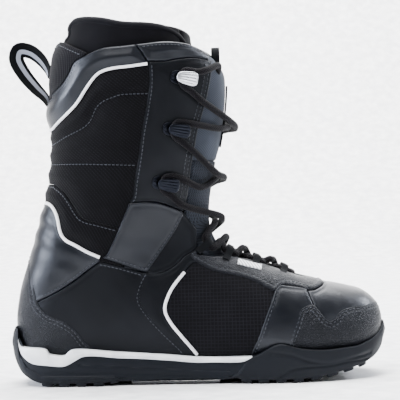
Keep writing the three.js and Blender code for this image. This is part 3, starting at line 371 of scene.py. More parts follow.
def line_distance(x, z, points):
    """The least distance from each place to an open line."""
    a, b = points[:-1], points[1:]
    edge = b - a
    size = np.maximum((edge ** 2).sum(1), 1e-12)
    result = np.empty(x.shape)
    for part in np.array_split(np.arange(len(x)), len(x) // 12000 + 1):
        dx, dz = x[part, None] - a[:, 0], z[part, None] - a[:, 1]
        t = np.clip((dx * edge[:, 0] + dz * edge[:, 1]) / size, 0, 1)
        result[part] = np.sqrt(((dx - t * edge[:, 0]) ** 2 + (dz - t * edge[:, 1]) ** 2).min(1))
    return result


# The throat is the opening down the instep, in plan as x, y.
THROAT_HALF = [(88, 0), (86, 7), (78, 12), (60, 16), (40, 20), (24, 24.5), (12, 29.5), (0, 33)]
THROAT = np.array(THROAT_HALF + [(x, -y) for x, y in THROAT_HALF[:0:-1]], float)
THROAT_TOP = 128.0

# Every panel of the shell, those that are sewn over others first: name, whether it is a pair, outline,
# height of its face over the last, finish.
PANELS = [
    ("toe_cap", False, outline("toe_cap_top", [(170, 0), (70, 0)]), 1.7, "grained_leather"),
    ("vamp", False, outline([(89, 72), (93, 61), (93, 40), (170, 40), (170, 100), (107, 100), (107, 79),
                             (102, 75), (95, 72)]), 0.9, "smooth_leather"),
    ("eyelet_stay", False, outline("stay_lower", "stay_upper"), 2.0, "grained_leather"),
    ("forefoot_strap", True, outline("strap_rear", [(66, 78), (89, 74), (94, 60), (94, 10)]), 1.2,
     "smooth_leather"),
    ("heel_counter", False, outline("counter_top", [(-170, 10)]), 2.0, "grained_leather"),
    ("quarter_mesh", True, outline("quarter_front", [(64, 12), (64, 82), (10, 100)]), 0.2, "mesh_cloth"),
    ("midfoot_panel", True, outline("midfoot_rear", [(10, 12), (10, 106), (-6, 106)], "-gusset_bottom"), 1.2,
     "matte_leather"),
    ("heel_quarter", True, outline("quarter_top", [(-10, 88), (-10, 12), (-150, 12), (-150, 60)],
                                   "-quarter_rear"), 0.8, "matte_leather"),
    ("ankle_wrap", False, outline("ankle_rear", [(-79, 60), (-170, 60)]), 1.5, "smooth_leather"),
    ("ankle_flap", True, outline("flap_bottom", "flap_front", "flap_top", [(-63, 127), (-73, 107)]), 2.2,
     "smooth_leather"),
    ("ankle_gusset", True, outline("gusset_bottom", "gusset_front", [(-50, 130), (-60, 95)]), 0.4,
     "matte_leather"),
    ("collar_front", True, outline("collar_front_lower", SEAMS["collar_top"][:31], [(-45, 275), (-40, 268)]),
     1.4, "smooth_leather"),
    ("collar_rear", False, outline("collar_lower", [(-36, 262), (-42, 275)], SEAMS["collar_top"][35:],
                                   "collar_rear_top"), 1.4, "smooth_leather"),
    ("collar_gusset", False, outline("collar_rear_top", "-gusset_rim"), 0.6, "rib_cloth"),
    ("cuff_facing", True, outline("facing_front", [(-20, 270)], SEAMS["facing_rear"][:36], "-flap_top"), 1.6,
     "matte_leather"),
    ("cuff_flex_panel", False, outline("cuff_seam", [(-50, 120), (-60, 90), (-100, 90), (-170, 140)]), 0.6,
     "cuff_cloth"),
    ("cuff_body", False, outline([(-170, 240), (-30, 262), (-20, 240), (-45, 140), (-60, 110), (-100, 120),
                                  (-170, 150)]), 0.4, "cuff_cloth"),
]
SLOTS = {
    "grained_leather": "leather_grained", "smooth_leather": "leather_smooth", "matte_leather": "nubuck",
    "mesh_cloth": "mesh_fabric", "cuff_cloth": "mesh_fabric", "rib_cloth": "mesh_fabric",
    "tongue_cloth": "woven_fabric", "open_mesh": "mesh_fabric", "liner_cloth": "liner_fabric",
    "webbing": "webbing", "rubber": "rubber", "midsole_foam": "foam_black", "frame_foam": "foam_white",
    "lace_cord": "lace", "bright_metal": "hook_silver", "dark_metal": "hook_dark", "piping": "woven_fabric",
    "thread": "webbing", "binding": "liner_fabric", "board": "board", "striped_webbing": "webbing",
    "label": "webbing", "plate": "nylon_plate",
}


# ---- Meshes ----------------------------------------------------------------------------------------
def grid_faces(rows, columns, wrap_columns=False, start=0):
    """Quads of a grid of points laid out row by row."""
    i = np.arange(rows - 1)[:, None]
    j = np.arange(columns if wrap_columns else columns - 1)[None, :]
    following = (j + 1) % columns
    corners = np.stack([i * columns + j, i * columns + following, (i + 1) * columns + following,
                        (i + 1) * columns + j], axis=-1)
    return corners.reshape(-1, 4) + start


def signed_volume(points, faces):
    """The volume inside closed faces, each split into a fan of triangles; negative if they face inwards."""
    total = 0.0
    for group in faces:
        for k in range(1, group.shape[1] - 1):
            a, b, c = points[group[:, 0]], points[group[:, k]], points[group[:, k + 1]]
            total += np.einsum("ij,ij->i", a, np.cross(b, c)).sum() / 6
    return total


def make_piece(name, points, faces, material, uv=None, marks=None, sharp=50.0):
    """A mesh object from points in millimetres and groups of faces, turned to face outwards. uv gives a
    pair for each corner of each group, and marks are values on the points for the material."""
    points = np.asarray(points, float)
    turned = signed_volume(points - points.mean(0), faces) < 0
    if turned:
        faces = [group[:, ::-1] for group in faces]
        uv = None if uv is None else [group[:, ::-1] for group in uv]
    corners = np.concatenate([group.ravel() for group in faces])
    sizes = np.concatenate([np.full(len(group), group.shape[1]) for group in faces])
    mesh = bpy.data.meshes.new(name)
    mesh.vertices.add(len(points))
    mesh.vertices.foreach_set("co", (points * MM).astype(np.float32).ravel())
    mesh.loops.add(len(corners))
    mesh.loops.foreach_set("vertex_index", corners.astype(np.int32))
    mesh.polygons.add(len(sizes))
    mesh.polygons.foreach_set("loop_start", (np.cumsum(sizes) - sizes).astype(np.int32))
    mesh.update(calc_edges=True)
    if uv is not None:
        layer = mesh.uv_layers.new(name="UVMap")
        flat = np.concatenate([group.reshape(-1, 2) for group in uv]) * MM
        layer.data.foreach_set("uv", flat.astype(np.float32).ravel())
    for label, values in (marks or {}).items():
        layer = mesh.attributes.new(label, "FLOAT", "POINT")
        layer.data.foreach_set("value", np.asarray(values, np.float32))
    mesh.validate()
    mesh.polygons.foreach_set("use_smooth", np.ones(len(mesh.polygons), bool))
    mesh.set_sharp_from_angle(angle=math.radians(sharp))
    mesh.materials.append(material)
    made = bpy.data.objects.new(name, mesh)
    bpy.context.scene.collection.objects.link(made)
    return made


def smooth_path(points, pieces=8):
    """A centripetal Catmull-Rom curve through the points: three nested steps of interpolation, with the
    knots apart by the square root of the distance between the points."""
    p = np.asarray(points, float)
    p = np.concatenate([[2 * p[0] - p[1]], p, [2 * p[-1] - p[-2]]])
    knots = np.concatenate([[0], np.cumsum(np.sqrt(np.linalg.norm(np.diff(p, axis=0), axis=1)))])
    i = np.repeat(np.arange(len(p) - 3), pieces)
    f = np.tile(np.arange(pieces) / pieces, len(p) - 3)
    t0, t1, t2, t3 = (knots[i + k][:, None] for k in range(4))
    t = t1 + f[:, None] * (t2 - t1)
    a1 = (t1 - t) / (t1 - t0) * p[i] + (t - t0) / (t1 - t0) * p[i + 1]
    a2 = (t2 - t) / (t2 - t1) * p[i + 1] + (t - t1) / (t2 - t1) * p[i + 2]
    a3 = (t3 - t) / (t3 - t2) * p[i + 2] + (t - t2) / (t3 - t2) * p[i + 3]
    b1 = (t2 - t) / (t2 - t0) * a1 + (t - t0) / (t2 - t0) * a2
    b2 = (t3 - t) / (t3 - t1) * a2 + (t - t1) / (t3 - t1) * a3
    return np.concatenate([(t2 - t) / (t2 - t1) * b1 + (t - t1) / (t2 - t1) * b2, p[-2:-1]])


def carried(path, across):
    """The direction across a path at each of its points, kept square to the path as it is carried along."""
    tangents = unit(np.gradient(path, axis=0))
    result = np.empty_like(path)
    current = np.asarray(across, float)
    for i, tangent in enumerate(tangents):
        current = unit(current - current @ tangent * tangent)
        result[i] = current
    return result, np.cross(tangents, result)


def sweep(path, across, through, section, scale=None):
    """A closed section carried along a path: each ring is the path's point plus the section's two
    coordinates along the two directions there. Both ends are closed with a face."""
    rings = path[:, None] + section[None, :, :1] * across[:, None] + section[None, :, 1:] * through[:, None]
    if scale is not None:
        rings = path[:, None] + (rings - path[:, None]) * scale[:, None, None]
    rows, columns = rings.shape[:2]
    run = np.concatenate([[0], np.cumsum(np.linalg.norm(np.diff(path, axis=0), axis=1))])
    steps = np.linalg.norm(np.roll(section, -1, axis=0) - section, axis=1)
    round_it = np.concatenate([[0], np.cumsum(steps)])
    u = np.broadcast_to(run[:, None], (rows, columns + 1))
    v = np.broadcast_to(round_it[None], (rows, columns + 1))
    both = np.stack([u, v], axis=-1)
    sides = np.stack([both[:-1, :-1], both[:-1, 1:], both[1:, 1:], both[1:, :-1]], axis=2).reshape(-1, 4, 2)
    caps = np.array([np.arange(columns)[::-1], np.arange(columns) + (rows - 1) * columns])
    cap_uv = np.zeros((2, columns, 2))
    cap_uv[1, :, 0] = run[-1]
    return rings.reshape(-1, 3), [grid_faces(rows, columns, True), caps], [sides, cap_uv]


def round_section(diameter, corners=16):
    """A circle as a closed section."""
    turn = np.arange(corners) * 2 * math.pi / corners
    return np.stack([np.cos(turn), np.sin(turn)], axis=-1) * diameter / 2


def flat_section(width, thickness, corners=6):
    """A flat strip with round edges as a closed section."""
    r = thickness / 2
    turn = np.linspace(-math.pi / 2, math.pi / 2, corners)
    right = np.stack([width / 2 - r + r * np.cos(turn), r * np.sin(turn)], axis=-1)
    top = np.stack([np.linspace(width / 2 - r, r - width / 2, 9)[1:-1], np.full(7, r)], axis=-1)
    return np.concatenate([right, top, -right, -top])


def joined(parts):
    """Several pieces of mesh as one list of points, groups of faces and uv groups."""
    points, faces, uv, start = [], [], [], 0
    for part_points, part_faces, part_uv in parts:
        points.append(part_points)
        faces += [group + start for group in part_faces]
        uv += part_uv
        start += len(part_points)
    return np.concatenate(points), faces, uv


def weights(points_m, start, end):
    """How far each point has gone from start to end, from 0 to 1."""
    start, way = np.array(start), np.array(end) - np.array(start)
    return np.clip((points_m - start) @ way / (way @ way), 0, 1)


def attach(piece, slot_name, lower="boot_lower", upper="cuff", zone=(ANKLE_START, ANKLE_END)):
    """Lets a finished piece move with one body when it lies wholly on one side of the zone; a piece that
    reaches into the zone keeps its place, with its transform applied.
    """
    flat = np.empty(len(piece.data.vertices) * 3, np.float32)
    piece.data.vertices.foreach_get("co", flat)
    share = weights(flat.reshape(-1, 3), *zone)
    if share.max() < 1e-4:
        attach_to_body(piece, lower)
    elif share.min() > 1 - 1e-4:
        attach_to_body(piece, upper)
    else:
        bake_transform(piece)
    return piece


# ---- Sheets cut from the last ------------------------------------------------------------------------
ROWS, COLUMNS = 340, 288


def master_grid():
    """The whole last as a grid of triangles in u and turn, with each point's place and the length of the
    way round to it."""
    u, turn = np.meshgrid(np.linspace(0, LAST_LENGTH, ROWS), np.linspace(0, 2 * math.pi, COLUMNS + 1),
                          indexing="ij")
    place = last_point(u, turn)
    steps = np.linalg.norm(np.diff(place, axis=1), axis=2)
    around = np.concatenate([np.zeros((ROWS, 1)), np.cumsum(steps, axis=1)], axis=1)
    quads = grid_faces(ROWS, COLUMNS + 1)
    odd = ((quads[:, 0] // (COLUMNS + 1) + quads[:, 0] % (COLUMNS + 1)) % 2)[:, None] == 1
    first = np.where(odd, quads[:, [0, 1, 2]], quads[:, [1, 2, 3]])
    second = np.where(odd, quads[:, [0, 2, 3]], quads[:, [1, 3, 0]])
    return np.stack([u.ravel(), turn.ravel()], axis=-1), np.concatenate([first, second]), around


MASTER, MASTER_TRIANGLES, AROUND = master_grid()


def split_at(params, triangles, value, level):
    """Cuts the triangles along the line where a value on the points equals the level. Each crossed
    triangle gives one on one side and two on the other. Returns the value's sign for each triangle."""
    over = value - level
    over = np.where(np.abs(over) < 1e-7, 1e-7, over)
    positive = over[triangles] > 0
    count = positive.sum(1)
    crossed = (count == 1) | (count == 2)
    whole = triangles[~crossed]
    mixed, signs = triangles[crossed], positive[crossed]
    lone = np.argmax(signs == (count[crossed] == 1)[:, None], axis=1)
    rows = np.arange(len(mixed))
    a, b, c = mixed[rows, lone], mixed[rows, (lone + 1) % 3], mixed[rows, (lone + 2) % 3]
    ends = np.concatenate([np.stack([a, b], 1), np.stack([a, c], 1)])
    keys, back = np.unique(np.sort(ends, axis=1), axis=0, return_inverse=True)
    back = back.ravel()
    i, j = keys[:, 0], keys[:, 1]
    f = (over[i] / (over[i] - over[j]))[:, None]
    fresh = params[i] + (params[j] - params[i]) * f
    p, q = back[:len(a)] + len(params), back[len(a):] + len(params)
    made = np.concatenate([whole, np.stack([a, p, q], 1), np.stack([p, b, c], 1), np.stack([p, c, q], 1)])
    lone_sign = signs[rows, lone]
    sign = np.concatenate([positive[~crossed].any(1), lone_sign, ~lone_sign, ~lone_sign])
    return np.concatenate([params, fresh]), made, sign


def compacted(params, triangles):
    """Only the points that the triangles use."""
    used, back = np.unique(triangles, return_inverse=True)
    return params[used], back.reshape(-1, 3)


def cut_sheet(region, edge, half=None, rings=(0.12, 0.45, 1.0, 1.6)):
    """The part of the last where region is over 0, with extra lines of points beside its edges.
    region and edge take points' u and turn and give distances in millimetres."""
    triangles = MASTER_TRIANGLES
    if half is not None:
        middle = MASTER[triangles, 1].mean(1)
        triangles = triangles[(middle < math.pi) if half < 0 else (middle > math.pi)]
    value = region(MASTER)
    triangles = triangles[(value[triangles] > 0).any(1)]
    near, triangles = np.unique(triangles, return_inverse=True)
    params, value = MASTER[near], value[near]
    params, triangles, sign = split_at(params, triangles.reshape(-1, 3), value, 0.0)
    params, triangles = compacted(params, triangles[sign])
    for level in rings:
        params, triangles, _ = split_at(params, triangles, edge(params), level)
    return params, triangles


def welded(points, triangles):
    """Points in the same place made one, and triangles that lose a side left out."""
    keys = np.round(points * 500).astype(np.int64)
    _, first, back = np.unique(keys, axis=0, return_index=True, return_inverse=True)
    back = back.ravel()
    triangles = back[triangles]
    proper = ((triangles[:, 0] != triangles[:, 1]) & (triangles[:, 1] != triangles[:, 2])
              & (triangles[:, 2] != triangles[:, 0]))
    return first, triangles[proper]


def shut(face, back, triangles):
    """A face and a back with the same triangles, joined by quads along their edges into a closed skin."""
    count = len(face)
    sides = np.concatenate([triangles[:, [0, 1]], triangles[:, [1, 2]], triangles[:, [2, 0]]])
    keys = np.sort(sides, axis=1)
    _, index, times = np.unique(keys, axis=0, return_index=True, return_counts=True)
    rim = sides[index[times == 1]]
    walls = np.stack([rim[:, 1], rim[:, 0], rim[:, 0] + count, rim[:, 1] + count], axis=1)
    return np.concatenate([face, back]), [triangles, triangles[:, ::-1] + count, walls]


def arc_at(params):
    """The length of the way round the last at each point, between the grid's values."""
    i = np.clip(params[:, 0] / LAST_LENGTH * (ROWS - 1), 0, ROWS - 1.001)
    j = np.clip(params[:, 1] / (2 * math.pi) * COLUMNS, 0, COLUMNS - 0.001)
    i0, j0 = i.astype(int), j.astype(int)
    fi, fj = i - i0, j - j0
    return ((AROUND[i0, j0] * (1 - fi) + AROUND[i0 + 1, j0] * fi) * (1 - fj)
            + (AROUND[i0, j0 + 1] * (1 - fi) + AROUND[i0 + 1, j0 + 1] * fi) * fj)


def ease(t):
    """A smooth step from 0 to 1."""
    t = np.clip(t, 0, 1)
    return t * t * (3 - 2 * t)


def rolled_edge(distance, radius):
    """The share of its full height that a folded edge has at a distance from the edge: a quarter circle."""
    t = np.clip(distance / radius, 0, 1)
    return np.sqrt(1 - (1 - t) ** 2)


def soft_waves(place, size, seed):
    """A gentle unevenness: the sum of five sine waves that run in fixed directions, from -1 to 1."""
    k = np.arange(5)
    way = np.stack([np.sin(seed + 1.7 * k), np.cos(2.1 * seed + 2.3 * k), np.sin(3.3 * seed + 2.9 * k)], 1)
    return np.sin(place @ (way * (2 * math.pi / size)).T + seed * (k + 1)).mean(1)


# ---- Materials ---------------------------------------------------------------------------------------
def put(tree, kind, inputs=(), output=0, **settings):
    """Adds a shader node with its settings and links and gives one of its outputs. inputs are numbers,
    colours or sockets, in the node's order or by name or number."""
    made = tree.nodes.new("ShaderNode" + kind)
    for key, value in settings.items():
        setattr(made, key, value)
    for key, value in (inputs if isinstance(inputs, dict) else dict(enumerate(inputs))).items():
        socket = made.inputs[key]
        if isinstance(value, bpy.types.NodeSocket):
            tree.links.new(value, socket)
        else:
            socket.default_value = (*value, 1) if socket.type == "RGBA" and len(value) == 3 else value
    return made.outputs[output] if len(made.outputs) else None


def shader(name, base, roughness, **sockets):
    """A material with one principled shader, whose uniform values are set on its sockets."""
    made = bpy.data.materials.new(name)
    made.use_nodes = True
    tree = made.node_tree
    tree.nodes.clear()
    surface = put(tree, "BsdfPrincipled", {"Base Color": base, "Roughness": roughness,
                                           **{k.replace("_", " "): v for k, v in sockets.items()}})
    put(tree, "OutputMaterial", [surface])
    return made, tree, surface.node


def wire(principled, **sources):
    """Feeds the shader's inputs from sockets."""
    for key, source in sources.items():
        principled.id_data.links.new(source, principled.inputs[key.replace("_", " ")])


def shaded(base, factor):
    """A colour made lighter or darker."""
    return tuple(min(1.0, c * factor) for c in base)


def lumps(tree, size, detail=3.0):
    """Clouds with lumps of a size in millimetres, from 0 to 1."""
    return put(tree, "TexNoise", {"Vector": put(tree, "TexCoord", output="Object"),
                                  "Scale": 1 / (size * MM), "Detail": detail})


def edge_wear_and_highlight(tree):
    """Edge wear and a painted highlight: 1 at a panel's folded edge, falling to 0 two millimetres inside
    it, broken up by clouds.
    """
    distance = put(tree, "Attribute", output="Fac", attribute_name="edge")
    near = put(tree, "MapRange", (distance, 0.6, 2.4, 1, 0))
    broken = put(tree, "MapRange", (lumps(tree, 4), 0.35, 0.7, 0.35, 1))
    return put(tree, "Math", (near, broken), operation="MULTIPLY")


COOL = (0.86, 0.9, 1.0, 1)      # the bluish cast of black leather and rubber under soft light
MATT = {"Specular_IOR_Level": 0.16, "Specular_Tint": COOL}
PEBBLE_WARP = 0.0009            # how far clouds push the pebbles out of line


def leather(name, base, roughness, grain, depth, gloss, shine):
    """Coated leather: pebbles of the grain's size, finer pores, soft lighter scuffs, and folded edges made
    lighter by wear and by a painted highlight. The pebbles are cells, whose borders are the creases between
    them, painted darker as shade."""
    made, tree, principled = shader(name, base, roughness, Coat_Weight=gloss, Coat_Roughness=0.35,
                                    Specular_IOR_Level=shine, Specular_Tint=COOL)
    place = put(tree, "TexCoord", output="Object")
    warp = put(tree, "TexNoise", {"Vector": place, "Scale": 1 / (grain * 2.2 * MM), "Detail": 2.0}, 1)
    bent = put(tree, "Mix", {0: PEBBLE_WARP, 4: place, 5: warp}, 1, data_type="VECTOR")
    cells = put(tree, "TexVoronoi", {"Vector": bent, "Scale": 1 / (grain * MM)}, "Distance",
                feature="DISTANCE_TO_EDGE")
    pebbles = put(tree, "MapRange", (cells, 0.0, 0.28, 0, 1))
    height = put(tree, "Math", (lumps(tree, grain * 0.35), 0.5, pebbles), operation="MULTIPLY_ADD")
    scuff = put(tree, "MapRange", (lumps(tree, 30, 4), 0.42, 0.72, 0, 0.35))
    # The folded edges are made lighter: real wear and a painted highlight along the fold.
    rubbed = put(tree, "Math", (edge_wear_and_highlight(tree), 0.7), operation="MULTIPLY")
    wear_and_edge_highlight = put(tree, "Math", (rubbed, scuff), operation="MAXIMUM")
    # Darker in the creases between the pebbles: painted shade.
    crease_shaded_tone = put(tree, "Mix", {0: pebbles, 6: shaded(base, 0.55), 7: base}, 2, data_type="RGBA")
    cloud = put(tree, "MapRange", (lumps(tree, 12), 0.3, 0.7, roughness - 0.07, roughness + 0.07))
    wire(principled,
         Normal=put(tree, "Bump", {"Distance": depth * MM, "Height": height}),
         Base_Color=put(tree, "Mix", {0: wear_and_edge_highlight, 6: crease_shaded_tone, 7: shaded(base, 2.1)}, 2, data_type="RGBA"),
         Roughness=put(tree, "Math", (edge_wear_and_highlight(tree), 0.1, cloud), operation="MULTIPLY_ADD"))
    return made


def wave(tree, socket, pitch):
    """The sine of a coordinate with a pitch in millimetres, from -1 to 1."""
    angle = put(tree, "Math", (socket, 2 * math.pi / (pitch * MM)), operation="MULTIPLY")
    return put(tree, "Math", [angle], operation="SINE")


def crossed(tree, u, v, first, second, operation="MULTIPLY"):
    """Two waves joined into one value: one along each coordinate, with their pitches."""
    return put(tree, "Math", (wave(tree, u, first), wave(tree, v, second)), operation=operation)


def slanted(tree, u, v, share):
    """A coordinate that also grows with a share of the other."""
    return put(tree, "Math", (v, share, u), operation="MULTIPLY_ADD")


def cloth_place(tree, axis):
    """A coordinate of the cloth, in metres: 0 along it, 1 across."""
    return put(tree, "SeparateXYZ", [put(tree, "UVMap")], axis)


def fabric(name, base, pattern, depth, roughness=0.92, light=1.9, sheen=0.05):
    """Woven or knitted cloth. pattern gives the height from 0 to 1 from the two coordinates of the cloth;
    threads that stand up catch light, the holes between them stay dark."""
    made, tree, principled = shader(name, base, roughness, Sheen_Weight=sheen, Sheen_Roughness=0.5,
                                    Specular_IOR_Level=0.05)
    height = pattern(tree, cloth_place(tree, 0), cloth_place(tree, 1))
    fuzzy = put(tree, "Math", (lumps(tree, 0.5, 2), 0.25, height), operation="MULTIPLY_ADD")
    cloud = put(tree, "MapRange", (lumps(tree, 22, 3), 0.35, 0.7, 0.8, 1.25))
    share = put(tree, "Math", (height, cloud), operation="MULTIPLY")
    dark, bright = shaded(base, 0.4), shaded(base, light)
    wire(principled,
         Normal=put(tree, "Bump", {"Distance": depth * MM, "Height": fuzzy}),
         Base_Color=put(tree, "Mix", {0: share, 6: dark, 7: bright}, 2, data_type="RGBA"))
    return made


def ripstop(tree, u, v):
    """Square cells 3 mm apart with raised threads between them and a fine weave inside."""
    lines = [put(tree, "MapRange", (wave(tree, c, 2.9), 0.55, 1.0, 0, 1)) for c in (u, v)]
    grid = put(tree, "Math", lines, operation="MAXIMUM")
    fine = put(tree, "MapRange", (crossed(tree, u, v, 0.97, 0.97), -1, 1, 0.05, 0.4))
    return put(tree, "Math", (grid, fine), operation="MAXIMUM")


def diagonal_rib(tree, u, v):
    """Ribs on the slant, 2.6 mm apart, broken into short bars by a second set."""
    bars = put(tree, "MapRange", (wave(tree, slanted(tree, v, u, 0.8), 2.6), -0.2, 1.0, 0, 1))
    breaks = put(tree, "MapRange", (wave(tree, slanted(tree, u, v, -0.9), 3.4), -0.9, 0.2, 0.25, 1))
    return put(tree, "Math", (bars, breaks), operation="MULTIPLY")


def upright_rib(tree, u, v):
    """Stretch knit: ribs 2.1 mm apart that run up the boot, each with a fine cross thread."""
    ribs = put(tree, "MapRange", (wave(tree, u, 2.1), -0.4, 1.0, 0, 1))
    threads = put(tree, "MapRange", (wave(tree, v, 1.6), -1, 1, 0.55, 1))
    return put(tree, "Math", (ribs, threads), operation="MULTIPLY")


def cross_weave(tree, u, v):
    """Plain weave drawn 1.7 mm apart, coarser than the real cloth so that it shows."""
    return put(tree, "MapRange", (crossed(tree, u, v, 3.2, 1.7), -1, 1, 0.35, 1))


def open_holes(tree, u, v):
    """Spacer mesh: rows of dark holes 3.2 mm apart, each row set half a step from the next."""
    rows = crossed(tree, slanted(tree, u, v, 0.6), slanted(tree, u, v, -0.6), 3.2, 3.2, "ADD")
    return put(tree, "MapRange", (rows, -1.6, 0.2, 0, 1))


def brushed_knit(tree, u, v):
    """Brushed liner cloth: a faint fine rib under short fuzz."""
    return put(tree, "MapRange", (crossed(tree, u, v, 1.8, 1.4), -1, 1, 0.3, 0.75))


def twill(tree, u, v):
    """Webbing: fine diagonals across the strip's length."""
    return put(tree, "MapRange", (wave(tree, slanted(tree, u, v, 1.3), 1.5), -1, 1, 0.15, 1))


BRAID_PITCH = 2.4
BRAID_TURN = 8 * BRAID_PITCH / (math.pi * 5.5)      # a whole number of strands round the cord


def braid(tree, u, v):
    """Round braid: two sets of strands that wind round the cord both ways, one over the other."""
    ways = [slanted(tree, u, v, turn) for turn in (BRAID_TURN, -BRAID_TURN)]
    strands = crossed(tree, *ways, BRAID_PITCH, BRAID_PITCH, "MAXIMUM")
    return put(tree, "MapRange", (strands, -0.2, 1, 0, 1))


def moulded(name, base, roughness, grit, depth, **sockets):
    """Moulded rubber, foam or plastic: an even skin with fine spark-eroded grit and faint cloudy gloss."""
    made, tree, principled = shader(name, base, roughness, **sockets)
    cloud = lumps(tree, 18, 4)
    share = put(tree, "MapRange", (cloud, 0.35, 0.75, 0, 1))
    dark, bright = shaded(base, 0.85), shaded(base, 1.25)
    wire(principled,
         Normal=put(tree, "Bump", {"Distance": depth * MM, "Height": lumps(tree, grit, 4)}),
         Base_Color=put(tree, "Mix", {0: share, 6: dark, 7: bright}, 2, data_type="RGBA"),
         Roughness=put(tree, "MapRange", (cloud, 0.3, 0.7, roughness - 0.08, roughness + 0.08)))
    return made


def cast_metal(name, base, roughness):
    """Die-cast zinc, tumbled and plated: a soft gloss with fine pits and rubbed patches."""
    made, tree, principled = shader(name, base, roughness, Metallic=1.0)
    wire(principled,
         Normal=put(tree, "Bump", {"Distance": 0.03 * MM, "Height": lumps(tree, 0.6, 3)}),
         Roughness=put(tree, "MapRange", (lumps(tree, 3, 3), 0.3, 0.7, roughness - 0.08, roughness + 0.12)))
    return made


STRIPE_REPEAT = 14.4     # once round half of the heel loop's section


def striped(name, base, stripe, low, high):
    """Webbing with a woven stripe along it, between two distances round the strip."""
    made = fabric(name, base, twill, 0.12)
    tree = made.node_tree
    principled = next(n for n in tree.nodes if n.type == "BSDF_PRINCIPLED")
    cloth = principled.inputs["Base Color"].links[0].from_socket
    face = put(tree, "Math", (cloth_place(tree, 1), STRIPE_REPEAT * MM), operation="MODULO")
    above = put(tree, "Math", (face, low * MM), operation="GREATER_THAN")
    below = put(tree, "Math", (face, high * MM), operation="LESS_THAN")
    inside = put(tree, "Math", (above, below), operation="MULTIPLY")
    wire(principled, Base_Color=put(tree, "Mix", {0: inside, 6: cloth, 7: stripe}, 2, data_type="RGBA"))
    return made


def hatched(name):
    """A woven label: white with slanting grey bars, and nothing written on it."""
    made, tree, principled = shader(name, linear("eef0f4"), 0.6)
    slant = slanted(tree, cloth_place(tree, 0), cloth_place(tree, 1), 0.8)
    bars = put(tree, "MapRange", (wave(tree, slant, 2.2), 0.0, 0.3, 0, 1))
    white, grey = linear("f2f3f6"), linear("a6a9b1")
    wire(principled, Base_Color=put(tree, "Mix", {0: bars, 6: white, 7: grey}, 2, data_type="RGBA"))
    return made


FINISHES = {}


def make_finishes(c):
    """Every finish of the boot, from the panel's colours."""
    FINISHES.update({
        # Coated split leather, smooth and semi-gloss: broad soft highlights.
        "smooth_leather": leather("coated_leather_smooth", tuple(c.smooth_leather),
                                  0.35, 0.9, 0.03, 0.08, 0.26),
        # The same hide with a matte top coat: a dull bluish sheen.
        "matte_leather": leather("coated_leather_matte", tuple(c.matte_leather), 0.4, 0.8, 0.035, 0.0, 0.13),
        # Embossed leather: a pebble grain drawn 1.6 mm wide, which breaks the highlight up.
        "grained_leather": leather("embossed_leather", tuple(c.grained_leather), 0.42, 1.7, 0.3, 0.02, 0.18),
        "mesh_cloth": fabric("ripstop_mesh", tuple(c.mesh_cloth), ripstop, 0.16, light=2.6),
        "cuff_cloth": fabric("ribbed_mesh", tuple(c.mesh_cloth), diagonal_rib, 0.16, light=2.2),
        "rib_cloth": fabric("stretch_rib", shaded(tuple(c.mesh_cloth), 1.9), upright_rib, 0.25, light=2.2),
        "tongue_cloth": fabric("woven_nylon", tuple(c.tongue_cloth), cross_weave, 0.1, 0.85, 1.35),
        "open_mesh": fabric("spacer_mesh", shaded(tuple(c.tongue_cloth), 0.45), open_holes, 0.35, 0.85, 1.7),
        "liner_cloth": fabric("brushed_knit", tuple(c.liner_cloth), brushed_knit, 0.12,
                              light=1.5, sheen=0.06),
        "binding": fabric("knit_binding", tuple(c.liner_cloth), twill, 0.12, light=1.8, sheen=0.06),
        "webbing": fabric("nylon_webbing", tuple(c.webbing), twill, 0.14, light=2.4),
        "striped_webbing": striped("striped_webbing", tuple(c.webbing), tuple(c.stripe), 4.6, 8.4),
        "lace_cord": fabric("braided_polyester", tuple(c.lace), braid, 0.3, 0.8, 2.2),
        "thread": moulded("bonded_thread", tuple(c.thread), 0.5, 0.5, 0.03),
        # Extruded vinyl piping: clean white with a soft gloss.
        "piping": moulded("vinyl_piping", tuple(c.piping), 0.38, 0.8, 0.02),
        "rubber": moulded("moulded_rubber", tuple(c.rubber), 0.55, 0.45, 0.07, **MATT),
        "midsole_foam": moulded("moulded_foam", tuple(c.midsole), 0.5, 0.6, 0.05, **MATT),
        # Injected frame in painted foam: off-white, satin, a little cool.
        "frame_foam": moulded("painted_frame", tuple(c.frame_foam), 0.36, 0.7, 0.02, Coat_Weight=0.15),
        "bright_metal": cast_metal("plated_zinc", tuple(c.bright_metal), 0.3),
        "dark_metal": cast_metal("gunmetal_zinc", tuple(c.dark_metal), 0.34),
        "plate": moulded("glass_filled_nylon", tuple(c.dark_metal), 0.3, 0.6, 0.03, Coat_Weight=0.3),
        "label": hatched("woven_label"),
        "board": moulded("fibre_board", tuple(c.board), 0.85, 0.9, 0.1),
        "floor": moulded("matte_paper", tuple(c.floor), 0.9, 2.0, 0.0),
    })


# ---- Shell -------------------------------------------------------------------------------------------
SEAM_GAP = 0.2
OVERLAP_STEP = 0.25      # a panel runs under one whose face is at least this much higher
PANEL_FOOT = 0.6         # how far a folded edge ends under the surface
TONGUE_FACE = (4.0, 3.4, 3.4)
TONGUE_BACK = (8.0, 5.4, 5.4)
LINER_FACE = (15.0, 6.6, 5.0)
LINER_INSIDE = (21.0, 12.6, 11.0)
BOTH = (-1, 1)
SIDE_NAMES = {-1: "outer", 1: "inner"}


def sizes():
    return bpy.context.scene.boot_sizes


def mm(value):
    """A length property in millimetres."""
    return value / MM


